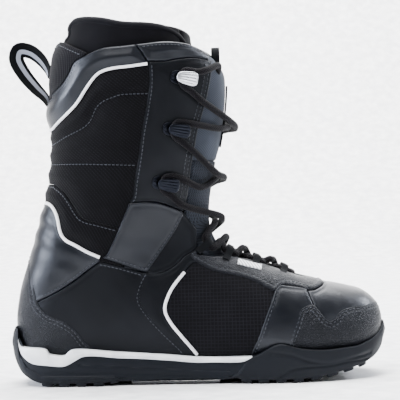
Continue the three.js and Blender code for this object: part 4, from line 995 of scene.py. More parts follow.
def panel_distances(index, params):
    """For places on the last: how far each is inside the panel with what is tucked under others, from
    the panel's open edges and from the border of what shows, and the place itself."""
    place = last_point(params[:, 0], params[:, 1])
    x, y, z = place.T
    _, _, points, height, _ = PANELS[index]
    edge = inside_distance(x, z, points)
    region, shown = edge.copy(), edge.copy()
    for _, _, over_points, over_height, _ in PANELS[:index]:
        over = inside_distance(x, z, over_points)
        shown = np.minimum(shown, -over)
        if over_height > height + OVERLAP_STEP:
            region = np.minimum(region, mm(sizes().tuck) - over)
        else:
            edge = np.minimum(edge, -over - SEAM_GAP)
            region = np.minimum(region, -over - SEAM_GAP)
    hole = np.where((z > 60) & (z < THROAT_TOP), inside_distance(x, y, THROAT), -1e3)
    ground = z - np.interp(x, *SEAMS["feather"].T) + 3
    return np.minimum(np.minimum(region, -hole), ground), np.minimum(edge, -hole), shown, place


def cuff_padding(x, z, edge):
    """The quilted cuff swells between its sewn lines: a height that rises with the square of the
    distance from the nearest line and levels off."""
    near = np.minimum(edge, np.minimum(line_distance(x, z, SEAMS["quilt_upper"]),
                                       line_distance(x, z, SEAMS["quilt_lower"])))
    return mm(sizes().quilt) * (1 - np.exp(-(np.maximum(near, 0) / 8) ** 2))


def collar_padding(edge):
    """The collar band is stuffed, and highest along its middle."""
    return mm(sizes().collar_puff) * (1 - np.exp(-(np.maximum(edge, 0) / 7) ** 2))


def ankle_creases(place):
    """Shallow creases where the ankle bends, strongest behind it: waves down the slant of the bend."""
    x, _, z = place.T
    across = z + 0.32 * x
    zone = np.exp(-((across - 92) / 26) ** 2)
    drift = 3.5 * np.sin(x / 17.0) + 2 * np.sin(x / 7.3 + place[:, 1] / 23)
    return 0.55 * zone * np.sin((across + drift) / 2.9) * np.clip((x + 60) / -60, 0.12, 1)


def panel_relief(name, place, edge, shown):
    """The height of a panel's own shape over its flat face: padding, creases, sewing dips and a gentle
    unevenness."""
    x, _, z = place.T
    relief = 0.28 * soft_waves(place, 46, 1.3) + 0.1 * soft_waves(place, 17, 2.2)
    if name in ("cuff_body", "cuff_flex_panel"):
        relief += cuff_padding(x, z, shown)
    elif name.startswith("collar"):
        relief += collar_padding(shown) * (0.6 if name == "collar_gusset" else 1)
    else:
        relief -= 0.3 * np.exp(-((edge - 3.0) / 1.1) ** 2)
        relief += 0.5 * (1 - np.exp(-(np.maximum(edge, 0) / 9) ** 2))
    if name in ("ankle_wrap", "ankle_flap", "heel_quarter", "ankle_gusset"):
        relief += ankle_creases(place)
    return relief


def sewn_panel(index, half=None):
    """One panel of the shell: the last's surface inside the panel's outline, raised along the normal to
    the panel's height with a quarter-round edge, and closed by a back that follows it."""
    name, _, _, height, finish = PANELS[index]
    params, triangles = cut_sheet(lambda p: panel_distances(index, p)[0],
                                  lambda p: panel_distances(index, p)[1], half)
    first, triangles = welded(last_point(params[:, 0], params[:, 1]), triangles)
    params = params[first]
    _, edge, shown, place = panel_distances(index, params)
    _, normal = last_surface(params[:, 0], params[:, 1])
    share = rolled_edge(edge, mm(sizes().panel_edge))
    top = (height + panel_relief(name, place, edge, shown) + PANEL_FOOT) * share - PANEL_FOOT
    face = place + normal * top[:, None]
    back = place - normal * mm(sizes().panel_depth)
    points, faces = shut(face, back, triangles)
    around = arc_at(params) if finish in ("cuff_cloth", "rib_cloth") else place[:, 0]
    flat = np.tile(np.stack([around, place[:, 2]], axis=-1), (2, 1))
    uv = [flat[group] for group in faces]
    full_name = name if half is None else f"{name}_{SIDE_NAMES[half]}"
    made = make_piece(f"{full_name}_panel", points, faces, FINISHES[finish], uv, {"edge": np.tile(edge, 2)})
    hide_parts(full_name)
    attach(made, SLOTS[finish])
    return made


def inset_sheet(name, region, face_inset, back_inset, finish, relief=0.0, edge_radius=1.5):
    """A part of the tongue or the liner: the last moved inwards to its face and to its back, inside a
    region, with a round edge all the way."""
    def distance(p):
        return region(last_point(p[:, 0], p[:, 1], face_inset))

    params, triangles = cut_sheet(distance, distance, rings=(0.15, 0.8, 2.0))
    first, triangles = welded(last_point(params[:, 0], params[:, 1], face_inset), triangles)
    params = params[first]
    face, normal = last_surface(params[:, 0], params[:, 1], face_inset)
    back, _ = last_surface(params[:, 0], params[:, 1], back_inset)
    edge = region(face)
    share = rolled_edge(edge, edge_radius)[:, None]
    middle = (face + back) / 2
    swell = relief * (1 - np.exp(-(np.maximum(edge, 0) / 9) ** 2)) + 0.25 * soft_waves(face, 38, 2.7)
    flat = np.tile(np.stack([arc_at(params), face[:, 2]], axis=-1), (2, 1))
    face = middle + (face + normal * swell[:, None] - middle) * share
    back = middle + (back - middle) * share
    points, faces = shut(face, back, triangles)
    return make_piece(name, points, faces, FINISHES[finish], [flat[group] for group in faces],
                      {"edge": np.tile(edge, 2)})


# ---- Trim on the shell -------------------------------------------------------------------------------
def over_panel(x, z, side, lift, inset=NO_INSET):
    """Places over the shell seen at x, z in the side view, with normals; only where they are on it."""
    u, turn, there = find_on_last(x, z, side)
    place, normal = last_surface(u[there], turn[there], inset)
    return place + normal * lift, normal, there


def evened(path, reach):
    """A path at even steps, each point the mean of those within a reach: its corners are rounded."""
    run = np.concatenate([[0], np.cumsum(np.linalg.norm(np.diff(path, axis=0), axis=1))])
    at = np.linspace(0, run[-1], int(run[-1] / 0.8))
    even = np.stack([np.interp(at, run, path[:, k]) for k in range(3)], axis=-1)
    count = int(reach / 0.8)
    padded = np.concatenate([2 * even[0] - even[count:0:-1], even, 2 * even[-1] - even[-2:-count - 2:-1]])
    weight = np.hanning(2 * count + 3)[1:-1]
    return np.stack([np.convolve(padded[:, k], weight / weight.sum(), "valid") for k in range(3)], axis=-1)


def piping_run(name, line, diameter, lift, across_back=False, finish="piping"):
    """Round piping along a seam line: the line is laid on the last and a circle is carried along it."""
    runs = [over_panel(line[:, 0], line[:, 1], side, lift)[:2] for side in BOTH]
    if across_back:
        (outer, outer_normals), (inner, inner_normals) = runs
        runs = [(np.concatenate([outer[::-1], inner]), np.concatenate([outer_normals[::-1], inner_normals]))]
    for side, (places, normals) in zip(BOTH, runs):
        keep = np.concatenate([[True], np.linalg.norm(np.diff(places, axis=0), axis=1) > 0.2])
        path = evened(smooth_path(places[keep], 3), 8)
        across, through = carried(path, normals[0])
        points, faces, uv = sweep(path, across, through, round_section(diameter, 12))
        full_name = name if across_back else f"{name}_{SIDE_NAMES[side]}"
        attach(make_piece(full_name, points, faces, FINISHES[finish], uv), SLOTS[finish])


def shifted(line, distance):
    """A line moved sideways by a distance, to its left as it runs."""
    way = unit(np.gradient(line, axis=0))
    return line + np.stack([-way[:, 1], way[:, 0]], axis=-1) * distance


def stitches(panel_name, line, inset, pitch, sides=BOTH):
    """Places, directions and normals of the stitches along one line, set in from the panel's edge."""
    index = [panel[0] for panel in PANELS].index(panel_name)
    left, right = shifted(line, inset), shifted(line, -inset)
    outline_points = PANELS[index][2]
    score = [np.median(inside_distance(side[:, 0], side[:, 1], outline_points)) for side in (left, right)]
    line = left if score[0] > score[1] else right
    found = []
    for side in sides:
        dense = np.stack([np.interp(np.linspace(0, 1, 900), np.linspace(0, 1, len(line)), line[:, k])
                          for k in (0, 1)], axis=-1)
        u, turn, there = find_on_last(dense[:, 0], dense[:, 1], side)
        u, turn = u[there], turn[there]
        if len(u) < 4:
            continue
        place = last_point(u, turn)
        run = np.concatenate([[0], np.cumsum(np.linalg.norm(np.diff(place, axis=0), axis=1))])
        at = np.arange(pitch / 2, run[-1], pitch)
        params = np.stack([np.interp(at, run, u), np.interp(at, run, turn)], axis=-1)
        ahead = np.stack([np.interp(at + 0.4, run, u), np.interp(at + 0.4, run, turn)], axis=-1)
        region, edge, shown, place = panel_distances(index, params)
        visible = (region > 0.4) & (edge > inset * 0.6) & (shown > min(1.0, inset * 0.5))
        _, normal = last_surface(params[:, 0], params[:, 1])
        share = rolled_edge(edge, mm(sizes().panel_edge))
        top = PANELS[index][3] + panel_relief(panel_name, place, edge, shown)
        lift = (top + PANEL_FOOT) * share - PANEL_FOOT
        way = unit(last_point(ahead[:, 0], ahead[:, 1]) - place)
        found.append((place[visible] + normal[visible] * (lift[visible, None] + 0.12), way[visible],
                      normal[visible]))
    return found


def stitch_mesh(name, runs, finish="thread"):
    """Every stitch of the runs in one mesh: each is an ellipsoid, long along the seam and sunk a little
    into it at both ends."""
    places, ways, normals = (np.concatenate([run[k] for run in runs]) for k in range(3))
    a = np.linspace(0, math.pi, 7)[1:-1]
    b = np.arange(6) * math.pi / 3
    shape = np.concatenate([[(-1, 0, 0)], np.stack([
        -np.cos(a)[:, None] * np.ones(6), np.sin(a)[:, None] * np.cos(b), np.sin(a)[:, None] * np.sin(b)],
        axis=-1).reshape(-1, 3), [(1, 0, 0)]])
    half = np.array([mm(sizes().stitch) / 2, mm(sizes().thread) / 2, mm(sizes().thread) / 2])
    shape = shape * half
    ways = unit(ways - (ways * normals).sum(1, keepdims=True) * normals)
    sides = np.cross(ways, normals)
    points = (places[:, None] + shape[None, :, :1] * ways[:, None] + shape[None, :, 1:2] * sides[:, None]
              + shape[None, :, 2:] * normals[:, None])
    points -= normals[:, None] * (0.18 * (shape[None, :, :1] / half[0]) ** 2)
    count = len(shape)
    quads = grid_faces(5, 6, True, 1)
    ring = np.arange(6)
    first = np.stack([np.zeros(6, int), 1 + (ring + 1) % 6, 1 + ring], axis=-1)
    last = np.stack([np.full(6, count - 1), count - 7 + ring, count - 7 + (ring + 1) % 6], axis=-1)
    starts = (np.arange(len(places)) * count)[:, None, None]
    faces = [(group[None] + starts).reshape(-1, group.shape[1]) for group in (quads, first, last)]
    return make_piece(name, points.reshape(-1, 3), faces, FINISHES[finish])


# ---- Sole --------------------------------------------------------------------------------------------
SOLE_MARGIN = 5.0
PLAN_HALF = [(-151, 0), (-150.3, 11), (-146.5, 20), (-138, 29.5), (-121, 36.5), (-92, 39.5), (-50, 38.5),
             (-10, 40), (30, 45.5), (60, 50.5), (85, 52.5), (106, 50), (125, 43.5), (139, 32), (147, 19),
             (150, 9), (151, 0)]
PLAN = spline(PLAN_HALF, 14)
PLAN_X = PLAN[:, 0] + np.sign(PLAN[:, 0]) * SOLE_MARGIN * (1 - np.maximum(PLAN[:, 1], 0) / 60)
PLAN_WIDE = np.where(PLAN[:, 1] > 0, PLAN[:, 1] + SOLE_MARGIN * np.clip(PLAN[:, 1] / 6, 0, 1), 0)
GROUND_EDGES = {
    "outsole_heel": outline("heel_profile", [(-149.5, 46), (-149.6, 40), (-149.5, 32), (-148, 25),
                                             (-142, 16), (-130, 9.5), (-70, 8.5), (-62, 3.4), (-70, 1.5),
                                             (-78, 0)]),
    "outsole_forefoot": outline("toe_profile", [(40, 0), (30, 1.5), (22, 3.4), (30, 9)], "sole_top_toe"),
    "midsole": np.array([(-148.6, 40), (-150.5, 24), (-140, 8), (-128, 3), (20, 3), (60, 8), (60, 24),
                         (42, 20.5), (-4, 21), (-50, 25), (-95, 28), (-103, 28), (-108, 24), (-121, 24),
                         (-127, 29), (-144, 31)], float),
    "midsole_frame": outline("frame_top", "frame_bottom"),
    "arch_plate": np.array([(-56, 1.2), (-48, 0.6), (8, 0.6), (16, 1.2), (16, 3.4), (8, 3), (-48, 3),
                            (-56, 3.4)], float),
}
SOLE_LINES = [
    (np.array([(-98, 18), (-67, 15.5), (-30, 13), (0, 11), (24, 10)], float), 0.7, 0.7),
    (np.array([(-136, 12), (-100, 11.5), (-62, 9.6), (-20, 7.4), (20, 5.6)], float), 0.35, 0.8),
    (np.array([(64, 5), (73, 10), (88, 12), (105, 12.3), (120, 14.4), (138, 15)], float), 0.9, 0.9),
    (np.array([(58, 24), (73, 22), (88, 16.5), (104, 14), (120, 16.5), (139, 20)], float), 0.8, 1.3),
]


def middle_line(x):
    """Where the sole's middle lies: the toes lean inwards, the waist a little outwards."""
    return 7 * ease((x - 40) / 105) - 1.5 * np.exp(-((x - 30) / 45) ** 2)


def heights_at(points, x):
    """The lowest and highest z of a closed outline at each x."""
    a, b = points, np.roll(points, -1, axis=0)
    low, high = np.minimum(a[:, 0], b[:, 0]), np.maximum(a[:, 0], b[:, 0])
    hit = (x[:, None] >= low) & (x[:, None] <= high) & (high > low)
    slope = (b[:, 1] - a[:, 1]) / np.where(high > low, b[:, 0] - a[:, 0], 1)
    z = a[:, 1] + slope * (x[:, None] - a[:, 0])
    return np.where(hit, z, np.inf).min(1), np.where(hit, z, -np.inf).max(1)


def sole_half(x, inwards):
    """Half the sole's width at x, moved inwards: the offset is taken along the plan's own normal."""
    wide = np.interp(x, PLAN_X, PLAN_WIDE, left=0, right=0)
    ahead = np.interp(x + 0.3, PLAN_X, PLAN_WIDE, left=0, right=0)
    behind = np.interp(x - 0.3, PLAN_X, PLAN_WIDE, left=0, right=0)
    stretch = np.minimum(np.hypot(1, (ahead - behind) / 0.6), 9)
    return np.maximum(wide - inwards * stretch, 0.02)


def sole_relief(x, z):
    """Moulded lines in the sole's side wall: each is a rounded groove, as deep as a bell curve of the
    distance from its line."""
    total = np.zeros(x.shape)
    for line, depth, width in SOLE_LINES:
        far = line_distance(x.ravel(), z.ravel(), spline(line, 8)).reshape(x.shape)
        total += depth * np.exp(-(far / width) ** 2)
    return total


def sole_layer(name, inwards, radius=1.6, rim=9.0, base=0.0, lined=True):
    """One layer of the sole as sections across the boot: bottom, rounded corner, side wall with its
    moulded lines, rounded top, rim, and the bed inside the rim, mirrored to the other side."""
    shape = GROUND_EDGES[name]
    low_x, high_x = shape[:, 0].min(), shape[:, 0].max()
    low_x, high_x = max(low_x, PLAN_X[0] + inwards), min(high_x, PLAN_X[-1] - inwards)
    turn = np.linspace(0, math.pi, 260)
    x = (low_x + high_x) / 2 - (high_x - low_x) / 2 * (0.35 * np.cos(turn) + 0.65 * (1 - 2 * turn / math.pi))
    x = np.clip(np.unique(np.concatenate([x, shape[:, 0] + 0.04, shape[:, 0] - 0.04])), low_x + 0.02,
                high_x - 0.02)
    x = x[np.concatenate([[True], np.diff(x) > 0.03])]
    low, high = heights_at(shape, x)
    low = low + base
    high = np.maximum(high, low + 0.05)
    r = np.minimum(radius, (high - low) * 0.45)
    bed = np.clip(np.interp(x, *SEAMS["feather"].T) - 1.5, low + r, high)
    corner = np.linspace(0, math.pi / 2, 6)
    columns = []
    for share in np.linspace(0, 1, 12):
        columns.append((share, inwards + r, low))
    for a in corner[1:]:
        columns.append((1, inwards + r * (1 - np.sin(a)), low + r * (1 - np.cos(a))))
    for t in np.linspace(0, 1, 26)[1:]:
        z = low + r + (high - low - 2 * r) * t
        cut = sole_relief(x, z) if lined else 0
        bulge = 0.7 * np.sin(math.pi * t)
        columns.append((1, inwards + (cut - bulge) * np.minimum((high - low) / 10, 1), z))
    for a in corner[1:]:
        columns.append((1, inwards + r * (1 - np.cos(a)), high - r + r * np.sin(a)))
    columns.append((1, inwards + rim, high))
    columns.append((1, inwards + rim + 0.3, bed))
    for share in np.linspace(0.9, 0, 6):
        columns.append((share, inwards + rim + 0.3, bed))
    half_y = np.stack([share * sole_half(x, inset) for share, inset, _ in columns], axis=1)
    half_z = np.stack([np.broadcast_to(z, x.shape) for _, _, z in columns], axis=1)
    y = np.concatenate([half_y, -half_y[:, -2:0:-1]], axis=1) + middle_line(x)[:, None]
    z = np.concatenate([half_z, half_z[:, -2:0:-1]], axis=1)
    points = np.stack([np.broadcast_to(x[:, None], y.shape), y, z], axis=-1)
    rows, count = y.shape
    caps = np.array([np.arange(count)[::-1], np.arange(count) + (rows - 1) * count])
    flat = points.reshape(-1, 3)
    return flat, [grid_faces(rows, count, True), caps], []


def rounded_block(corner=0.32, count=6):
    """A block from -1 to 1 each way with rounded edges: the faces of a cube as grids, each point pulled
    towards the sphere at the corners."""
    t = np.linspace(-1, 1, count)
    a, b = np.meshgrid(t, t, indexing="ij")
    sheets = []
    for axis in range(3):
        for sign in (-1, 1):
            face = np.empty((count, count, 3))
            face[..., axis] = sign
            face[..., (axis + 1) % 3] = a if sign > 0 else b
            face[..., (axis + 2) % 3] = b if sign > 0 else a
            sheets.append(face.reshape(-1, 3))
    points = np.concatenate(sheets)
    inner = np.clip(points, corner - 1, 1 - corner)
    points = inner + unit(points - inner) * corner
    quads = np.concatenate([grid_faces(count, count, start=k * count * count) for k in range(6)])
    keys = np.round(points * 1e4).astype(np.int64)
    _, first, back = np.unique(keys, axis=0, return_index=True, return_inverse=True)
    return points[first], back.ravel()[quads]


def tread(places, groove, top_of):
    """Lugs between the grooves: for each gap, two at each edge and two in the middle, turned a little.
    Each is a rounded block as deep as the tread."""
    block, quads = rounded_block()
    parts = []
    depth = mm(sizes().lug)
    for first, second in zip(places[:-1], places[1:]):
        span = second - first - groove
        x_middle = (first + second) / 2
        for side in BOTH:
            wide = float(sole_half(np.array([x_middle]), 0.6)[0])
            for start, end in ((0.0, 0.36), (0.44, 0.9)):
                y_out, y_in = wide * (1 - start), wide * (1 - end)
                x = x_middle + block[:, 0] * span / 2 + (0.12 * block[:, 1] * (y_out - y_in) / 2
                                                        if start else 0)
                edge = sole_half(x, 0.5) * (1 - start)
                y = y_in + (np.minimum(edge, y_out + 2) - y_in) * (block[:, 1] + 1) / 2
                ground = top_of(x)
                z = ground + 0.02 + (block[:, 2] + 1) / 2 * (depth + 1.2)
                parts.append((np.stack([x, middle_line(x) + side * y, z], axis=-1),
                              [quads if side > 0 else quads[:, ::-1]], []))
    return parts


# ---- Hooks -------------------------------------------------------------------------------------------
HOOK_CENTRES = [(-8, 247), (-15, 206), (-25, 163)]
HOOK_LIFT = 0.5
HOOK_METAL = 1.6
BASE_SEAT = 0.9          # how far the hook's foot stands on its plastic base
HOOK_NECK = 5.0
CAP_LENGTH = 18.0
CAP_WIDTH = 13.0
CLEAR = 0.4
LACE = 5.5
CAP_BOTTOM = HOOK_LIFT + HOOK_METAL + LACE + 2 * CLEAR


def hook_frame(centre, side):
    """A hook's own directions: ahead, up along the cuff and out of it, with its place on the last."""
    u, turn, _ = find_on_last(centre[0], centre[1], side)
    place, out = last_surface(u, turn)
    ahead = unit(np.cross(unit((0.17, 0, 1)), out)) * -side
    up = unit(np.cross(out, ahead)) * -side
    return place, np.stack([ahead, up, out])


def plate(centre, size, low, high, square=0.55, taper=0.0, crown=0.0, ribs=0, edge=0.7):
    """A rounded plate in a hook's own frame: a superellipse outline, narrower behind by the taper, filled
    with rings that rise to a crown. Ribs are waves across the plate that fan with its width."""
    turn = np.arange(72) * math.pi / 36
    cosine, sine = np.cos(turn), np.sin(turn)
    shape_x = np.sign(cosine) * np.abs(cosine) ** square
    shape_y = np.sign(sine) * np.abs(sine) ** square
    rings = [(s, 0.0) for s in np.linspace(0.02, 0.9, 16)]
    rings += [(1 - edge / size[0] * 2 * (1 - math.sin(a)), -edge * (1 - math.cos(a)))
              for a in np.linspace(0.2, math.pi / 2, 6)]
    points = []
    for share, drop in rings:
        x = shape_x * share
        narrow = 1 - taper * (1 - x) / 2
        y = shape_y * share
        rise = crown * (1 - share ** 2)
        z = high - crown + rise + drop
        if ribs:
            z = z + 0.42 * np.cos(y * math.pi * ribs) * ease((0.93 - share) * 6) * (0.55 + 0.45 * x)
        points.append(np.stack([centre[0] + x * size[0] / 2, centre[1] + y * narrow * size[1] / 2,
                                np.broadcast_to(z, x.shape)], axis=-1))
    for share, drop in rings[::-1]:
        x, y = shape_x * share, shape_y * share
        narrow = 1 - taper * (1 - x) / 2
        points.append(np.stack([centre[0] + x * size[0] / 2, centre[1] + y * narrow * size[1] / 2,
                                np.full(x.shape, low - drop)], axis=-1))
    rings_of = np.stack(points)
    rows, count = rings_of.shape[:2]
    caps = np.array([np.arange(count)[::-1], np.arange(count) + (rows - 1) * count])
    return rings_of.reshape(-1, 3), [grid_faces(rows, count, True), caps], []


def hook(row, side):
    """A lace hook: base plate and rivet on the facing, a neck, and the ribbed cap that the lace runs
    under."""
    place, axes = hook_frame(HOOK_CENTRES[row], side)
    base = [
        plate((-2.5, 0), (CAP_LENGTH - 1, CAP_WIDTH - 2), HOOK_LIFT + BASE_SEAT,
              HOOK_LIFT + BASE_SEAT + HOOK_METAL, 0.7, edge=0.5),
        plate((-8.6, 0), (4.2, 4.2), HOOK_LIFT + 2, HOOK_LIFT + 3.4, 1.0, crown=0.5, edge=0.3),
    ]
    cap = [
        plate((3.5, 0), (HOOK_NECK, HOOK_NECK), HOOK_LIFT + 2.6, CAP_BOTTOM + 0.6, 0.7, edge=0.2),
        plate((1, 0), (CAP_LENGTH, CAP_WIDTH), CAP_BOTTOM, CAP_BOTTOM + HOOK_METAL + 0.9, 0.62, 0.34, 0.8, 5),
    ]
    name = f"lace_hook_{row + 1}_{SIDE_NAMES[side]}"
    for suffix, parts, finish in (("base", base, "dark_metal"),
                                  ("cap", cap, "dark_metal" if row else "bright_metal")):
        points, faces, _ = joined(parts)
        made = make_piece(f"{name}_{suffix}", place + points @ axes, faces, FINISHES[finish], sharp=40)
        if suffix == "cap":
            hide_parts(name)
        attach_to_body(made, "cuff")


# ---- Lace --------------------------------------------------------------------------------------------
LACE_R = LACE / 2
TONGUE_INSET = 4.0
ON_TONGUE = LACE_R + 2 * CLEAR - TONGUE_INSET
OVER_STRAND = ON_TONGUE + LACE + CLEAR
UNDER_CAP = HOOK_LIFT + HOOK_METAL + (LACE + 2 * CLEAR) / 2 + 0.2
IN_GUIDE = 1.5
GUIDES = [(87.5, 9.5), (97, 13.5), (107, 17), (120, 24)]
CROSSINGS = [92, 102, 113.5, 131, 167.5, 209]
CROSSING_WIDTH = 6
GUIDE_WIDTH = 5.0
WEBBING = 1.4
TAIL_DEPTH = 11.5


def guide_frame(guide, side):
    """A lace guide's own directions: outwards, upwards and off the boot, with the lace's middle in it."""
    place, normal = on_front(guide[0], side * guide[1], IN_GUIDE)
    outwards = unit(np.array([0, side, 0]) - side * normal[1] * normal)
    upwards = np.cross(outwards, normal) * -side
    return place, np.stack([outwards, upwards, normal])


def lace_half(first_side, over_first):
    """One half of the lace as points, with the places in the list where its parts join."""
    points = []
    joins = []
    side, over = first_side, over_first

    def at(frame_of, where):
        points.append(frame_of[0] + np.array(where, float) @ frame_of[1])

    def front(z, sideways, lift):
        points.append(on_front(z, sideways, lift)[0])

    def cross(z, fall, rise, more):
        lift = (OVER_STRAND if over else ON_TONGUE) + more
        front(z - fall, side * CROSSING_WIDTH, lift)
        front(z, 0, lift)
        front(z + rise, -side * CROSSING_WIDTH, lift)

    if side > 0:
        front(GUIDES[0][0] - 3.2, 0, IN_GUIDE)
    for i, guide in enumerate(GUIDES):
        frame_of = guide_frame(guide, side)
        half = GUIDE_WIDTH / 2 - 0.3
        for out, up in ((-4.2, -half - 3.8), (-1.2, -half - 2.8), (0, -half), (0, half), (-1.2, half + 2.8),
                        (-4.2, half + 3.8)):
            at(frame_of, (out, up, 0))
        cross(CROSSINGS[i], 0.8 if i < 3 else 1.6, 0.8 if i < 3 else 3.5, 0 if i < 3 else 2.6)
        side, over = -side, not over
    for i, centre in enumerate(HOOK_CENTRES[::-1]):
        frame_of = hook_frame(centre, side)
        behind = 1 - LACE_R - 2 * CLEAR
        beside = HOOK_NECK / 2 + LACE_R + 2 * CLEAR
        for where in ((17, -15, 3.4), (7, -9.5, UNDER_CAP - 0.6), (behind + 2.2, -beside, UNDER_CAP),
                      (behind, -3.2, UNDER_CAP)):
            at(frame_of, where)
        joins.append(len(points))
        for where in ((behind, 3.2, UNDER_CAP), (behind + 2.2, beside, UNDER_CAP),
                      (10, beside + 0.6, UNDER_CAP - 0.4)):
            at(frame_of, where)
        if i < 2:
            height = CROSSINGS[4 + i]
            front(height, side * 30, 3.4)
            front(height, side * 18, OVER_STRAND - 0.6 if over else 2.2)
            cross(height, 0, 1.6, WEBBING + 2 * CLEAR if i else 1)
            side, over = -side, not over
            front(height + 6, side * 20, OVER_STRAND - 0.6 if not over else 2.2)
    top = hook_frame(HOOK_CENTRES[0], side)
    at(top, (18, 9.5, 3.5))
    front(258, side * 30, 1.5)
    front(256, side * 26, -3)
    front(250, side * 23, -8.5)
    for z in (238, 226, 214, 202):
        front(z, side * 18, -TAIL_DEPTH)
    return points, joins


def lace_piece(name, points, zone, bodies, nodes=()):
    """A stretch of the lace: a circle carried along the smooth curve through its points, with braid
    coordinates along it and round it."""
    path = smooth_path(points, 9)
    across, through = carried(path, (0, 0.3, 1))
    ends = np.minimum(np.arange(len(path)), np.arange(len(path))[::-1])
    scale = rolled_edge(ends + 0.5, 4)
    points, faces, uv = sweep(path, across, through, round_section(mm(sizes().lace), 20), scale)
    made = make_piece(name, points, faces, FINISHES["lace_cord"], uv)
    attach(made, SLOTS["lace_cord"], *bodies, zone)
    if nodes:
        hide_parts(*nodes)


# ---- Strips ------------------------------------------------------------------------------------------
def over_back(line, lift, inset, apart):
    """A line laid on both sides as one path: the outer side backwards, then the inner side, without the
    points that are closer together than a distance."""
    outer, inner = (over_panel(line[:, 0], line[:, 1], side, lift, inset)[0] for side in BOTH)
    path = np.concatenate([outer[::-1], inner])
    return path[np.concatenate([[True], np.linalg.norm(np.diff(path, axis=0), axis=1) > apart])]


def strip(name, path, across, through, section, finish="webbing", node=None, body=None):
    """A section carried along a path as one piece. It rides the given body, or else the one on its side of
    the ankle's zone, and stays in place if it reaches into that zone.
    """
    points, faces, uv = sweep(path, across, through, section)
    piece = make_piece(name, points, faces, FINISHES[finish], uv)
    if node:
        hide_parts(node)
    if body:
        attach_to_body(piece, body)
    else:
        attach(piece, SLOTS[finish])


# ---- Operators ---------------------------------------------------------------------------------------
CAMERA_LENS, CAMERA_SENSOR = 135, 36                # millimetres
CAMERA_PLACE = (0.0035, -1.26, 0.152)               # metres, as are the lights' places and sizes
CAMERA_TURNS = (89.84, 1.566, 0)                    # degrees
BOOT_MIDDLE, BACKDROP_MIDDLE = (0, 0, 0.14), (0, 3.0, 1.0)
SKY_TINT, SKY_STRENGTH = (0.93, 0.96, 1.0, 1), 0.2
# Each light: name, place, size, watts, tint.
LIGHTS = [
    ("key", (-0.6, -1.1, 1.9), 0.6, 60, (1.0, 0.99, 0.97)),
    ("fill", (1.4, -1.2, 0.6), 0.4, 8, (0.92, 0.95, 1.0)),
    ("top", (0.1, 0.1, 1.7), 0.9, 55, (1, 1, 1)),
    ("left_edge", (-1.3, -0.1, 0.5), 0.5, 30, (0.82, 0.88, 1.0)),
    ("right_edge", (1.2, 0.5, 0.9), 0.5, 24, (0.88, 0.92, 1.0)),
    ("backdrop", (0.0, 1.6, 2.6), 2.4, 380, (1, 1, 1)),
]


class BOOT_OT_stage(bpy.types.Operator):
    """Makes the camera, the pale floor that curves up behind, and the soft studio lights."""

    bl_idname = "boot.stage"
    bl_label = "Stage"

    def execute(self, context):
        scene = context.scene
        camera = bpy.data.objects.new("camera", bpy.data.cameras.new("camera"))
        camera.data.lens = CAMERA_LENS
        camera.data.sensor_width = CAMERA_SENSOR
        camera.data.dof.use_dof = False
        camera.location = CAMERA_PLACE
        camera.rotation_euler = [math.radians(turn) for turn in CAMERA_TURNS]
        scene.collection.objects.link(camera)
        scene.camera = camera

        t = np.linspace(0, 1, 40)
        bend = np.linspace(0, math.pi / 2, 20)
        depth = np.concatenate([[-6.0], 1.6 + 1.4 * np.sin(bend), [3.0]])
        rise = np.concatenate([[0.0], 1.4 * (1 - np.cos(bend)), [7.0]])
        wide = np.linspace(-8, 8, len(t))
        y, x = np.meshgrid(depth, wide, indexing="ij")
        z = np.broadcast_to(rise[:, None], y.shape) - 0.0006
        points = np.stack([x, y, z], axis=-1).reshape(-1, 3)
        mesh = bpy.data.meshes.new("studio_floor")
        mesh.from_pydata(points.tolist(), [], grid_faces(len(depth), len(wide)).tolist())
        mesh.polygons.foreach_set("use_smooth", np.ones(len(mesh.polygons), bool))
        mesh.materials.append(FINISHES["floor"])
        floor = bpy.data.objects.new("studio_floor", mesh)
        scene.collection.objects.link(floor)

        world = bpy.data.worlds.new("studio")
        world.use_nodes = True
        sky = world.node_tree.nodes["Background"].inputs
        sky["Color"].default_value = SKY_TINT
        sky["Strength"].default_value = SKY_STRENGTH
        scene.world = world
        for name, place, size, power, tint in LIGHTS:
            light = bpy.data.lights.new(name, "AREA")
            light.size = size
            light.energy = power
            light.color = tint
            lamp = bpy.data.objects.new(name, light)
            lamp.location = place
            aim = BACKDROP_MIDDLE if name == "backdrop" else BOOT_MIDDLE
            lamp.rotation_euler = (Vector(aim) - lamp.location).to_track_quat("-Z", "Y").to_euler()
            scene.collection.objects.link(lamp)
        return {"FINISHED"}


class BOOT_OT_finishes(bpy.types.Operator):
    """Makes the materials from the panel's colours."""

    bl_idname = "boot.finishes"
    bl_label = "Finishes"

    def execute(self, context):
        make_finishes(context.scene.boot_colours)
        return {"FINISHED"}


class BOOT_OT_shell(bpy.types.Operator):
    """Sews the shell: every panel of the foot, the ankle, the cuff and the collar."""

    bl_idname = "boot.shell"
    bl_label = "Shell panels"

    def execute(self, context):
        for index, (_, pair, _, _, _) in enumerate(PANELS):
            for half in BOTH if pair else (None,):
                sewn_panel(index, half)
        return {"FINISHED"}


class BOOT_OT_piping(bpy.types.Operator):
    """Lays the white piping along the quarters, round the ankle and under the collar."""

    bl_idname = "boot.piping"
    bl_label = "Piping"

    def execute(self, context):
        wide = mm(context.scene.boot_sizes.piping)
        piping_run("quarter_piping", SEAMS["quarter_front"][5:-4], wide, 0.7)
        rear = SEAMS["ankle_rear"]
        piping_run("ankle_piping", rear[rear[:, 0] > -150], wide, 0.9, across_back=True)
        low = SEAMS["collar_lower"]
        piping_run("collar_piping", low[low[:, 0] > -150], wide * 0.9, 1.0, across_back=True)
        return {"FINISHED"}


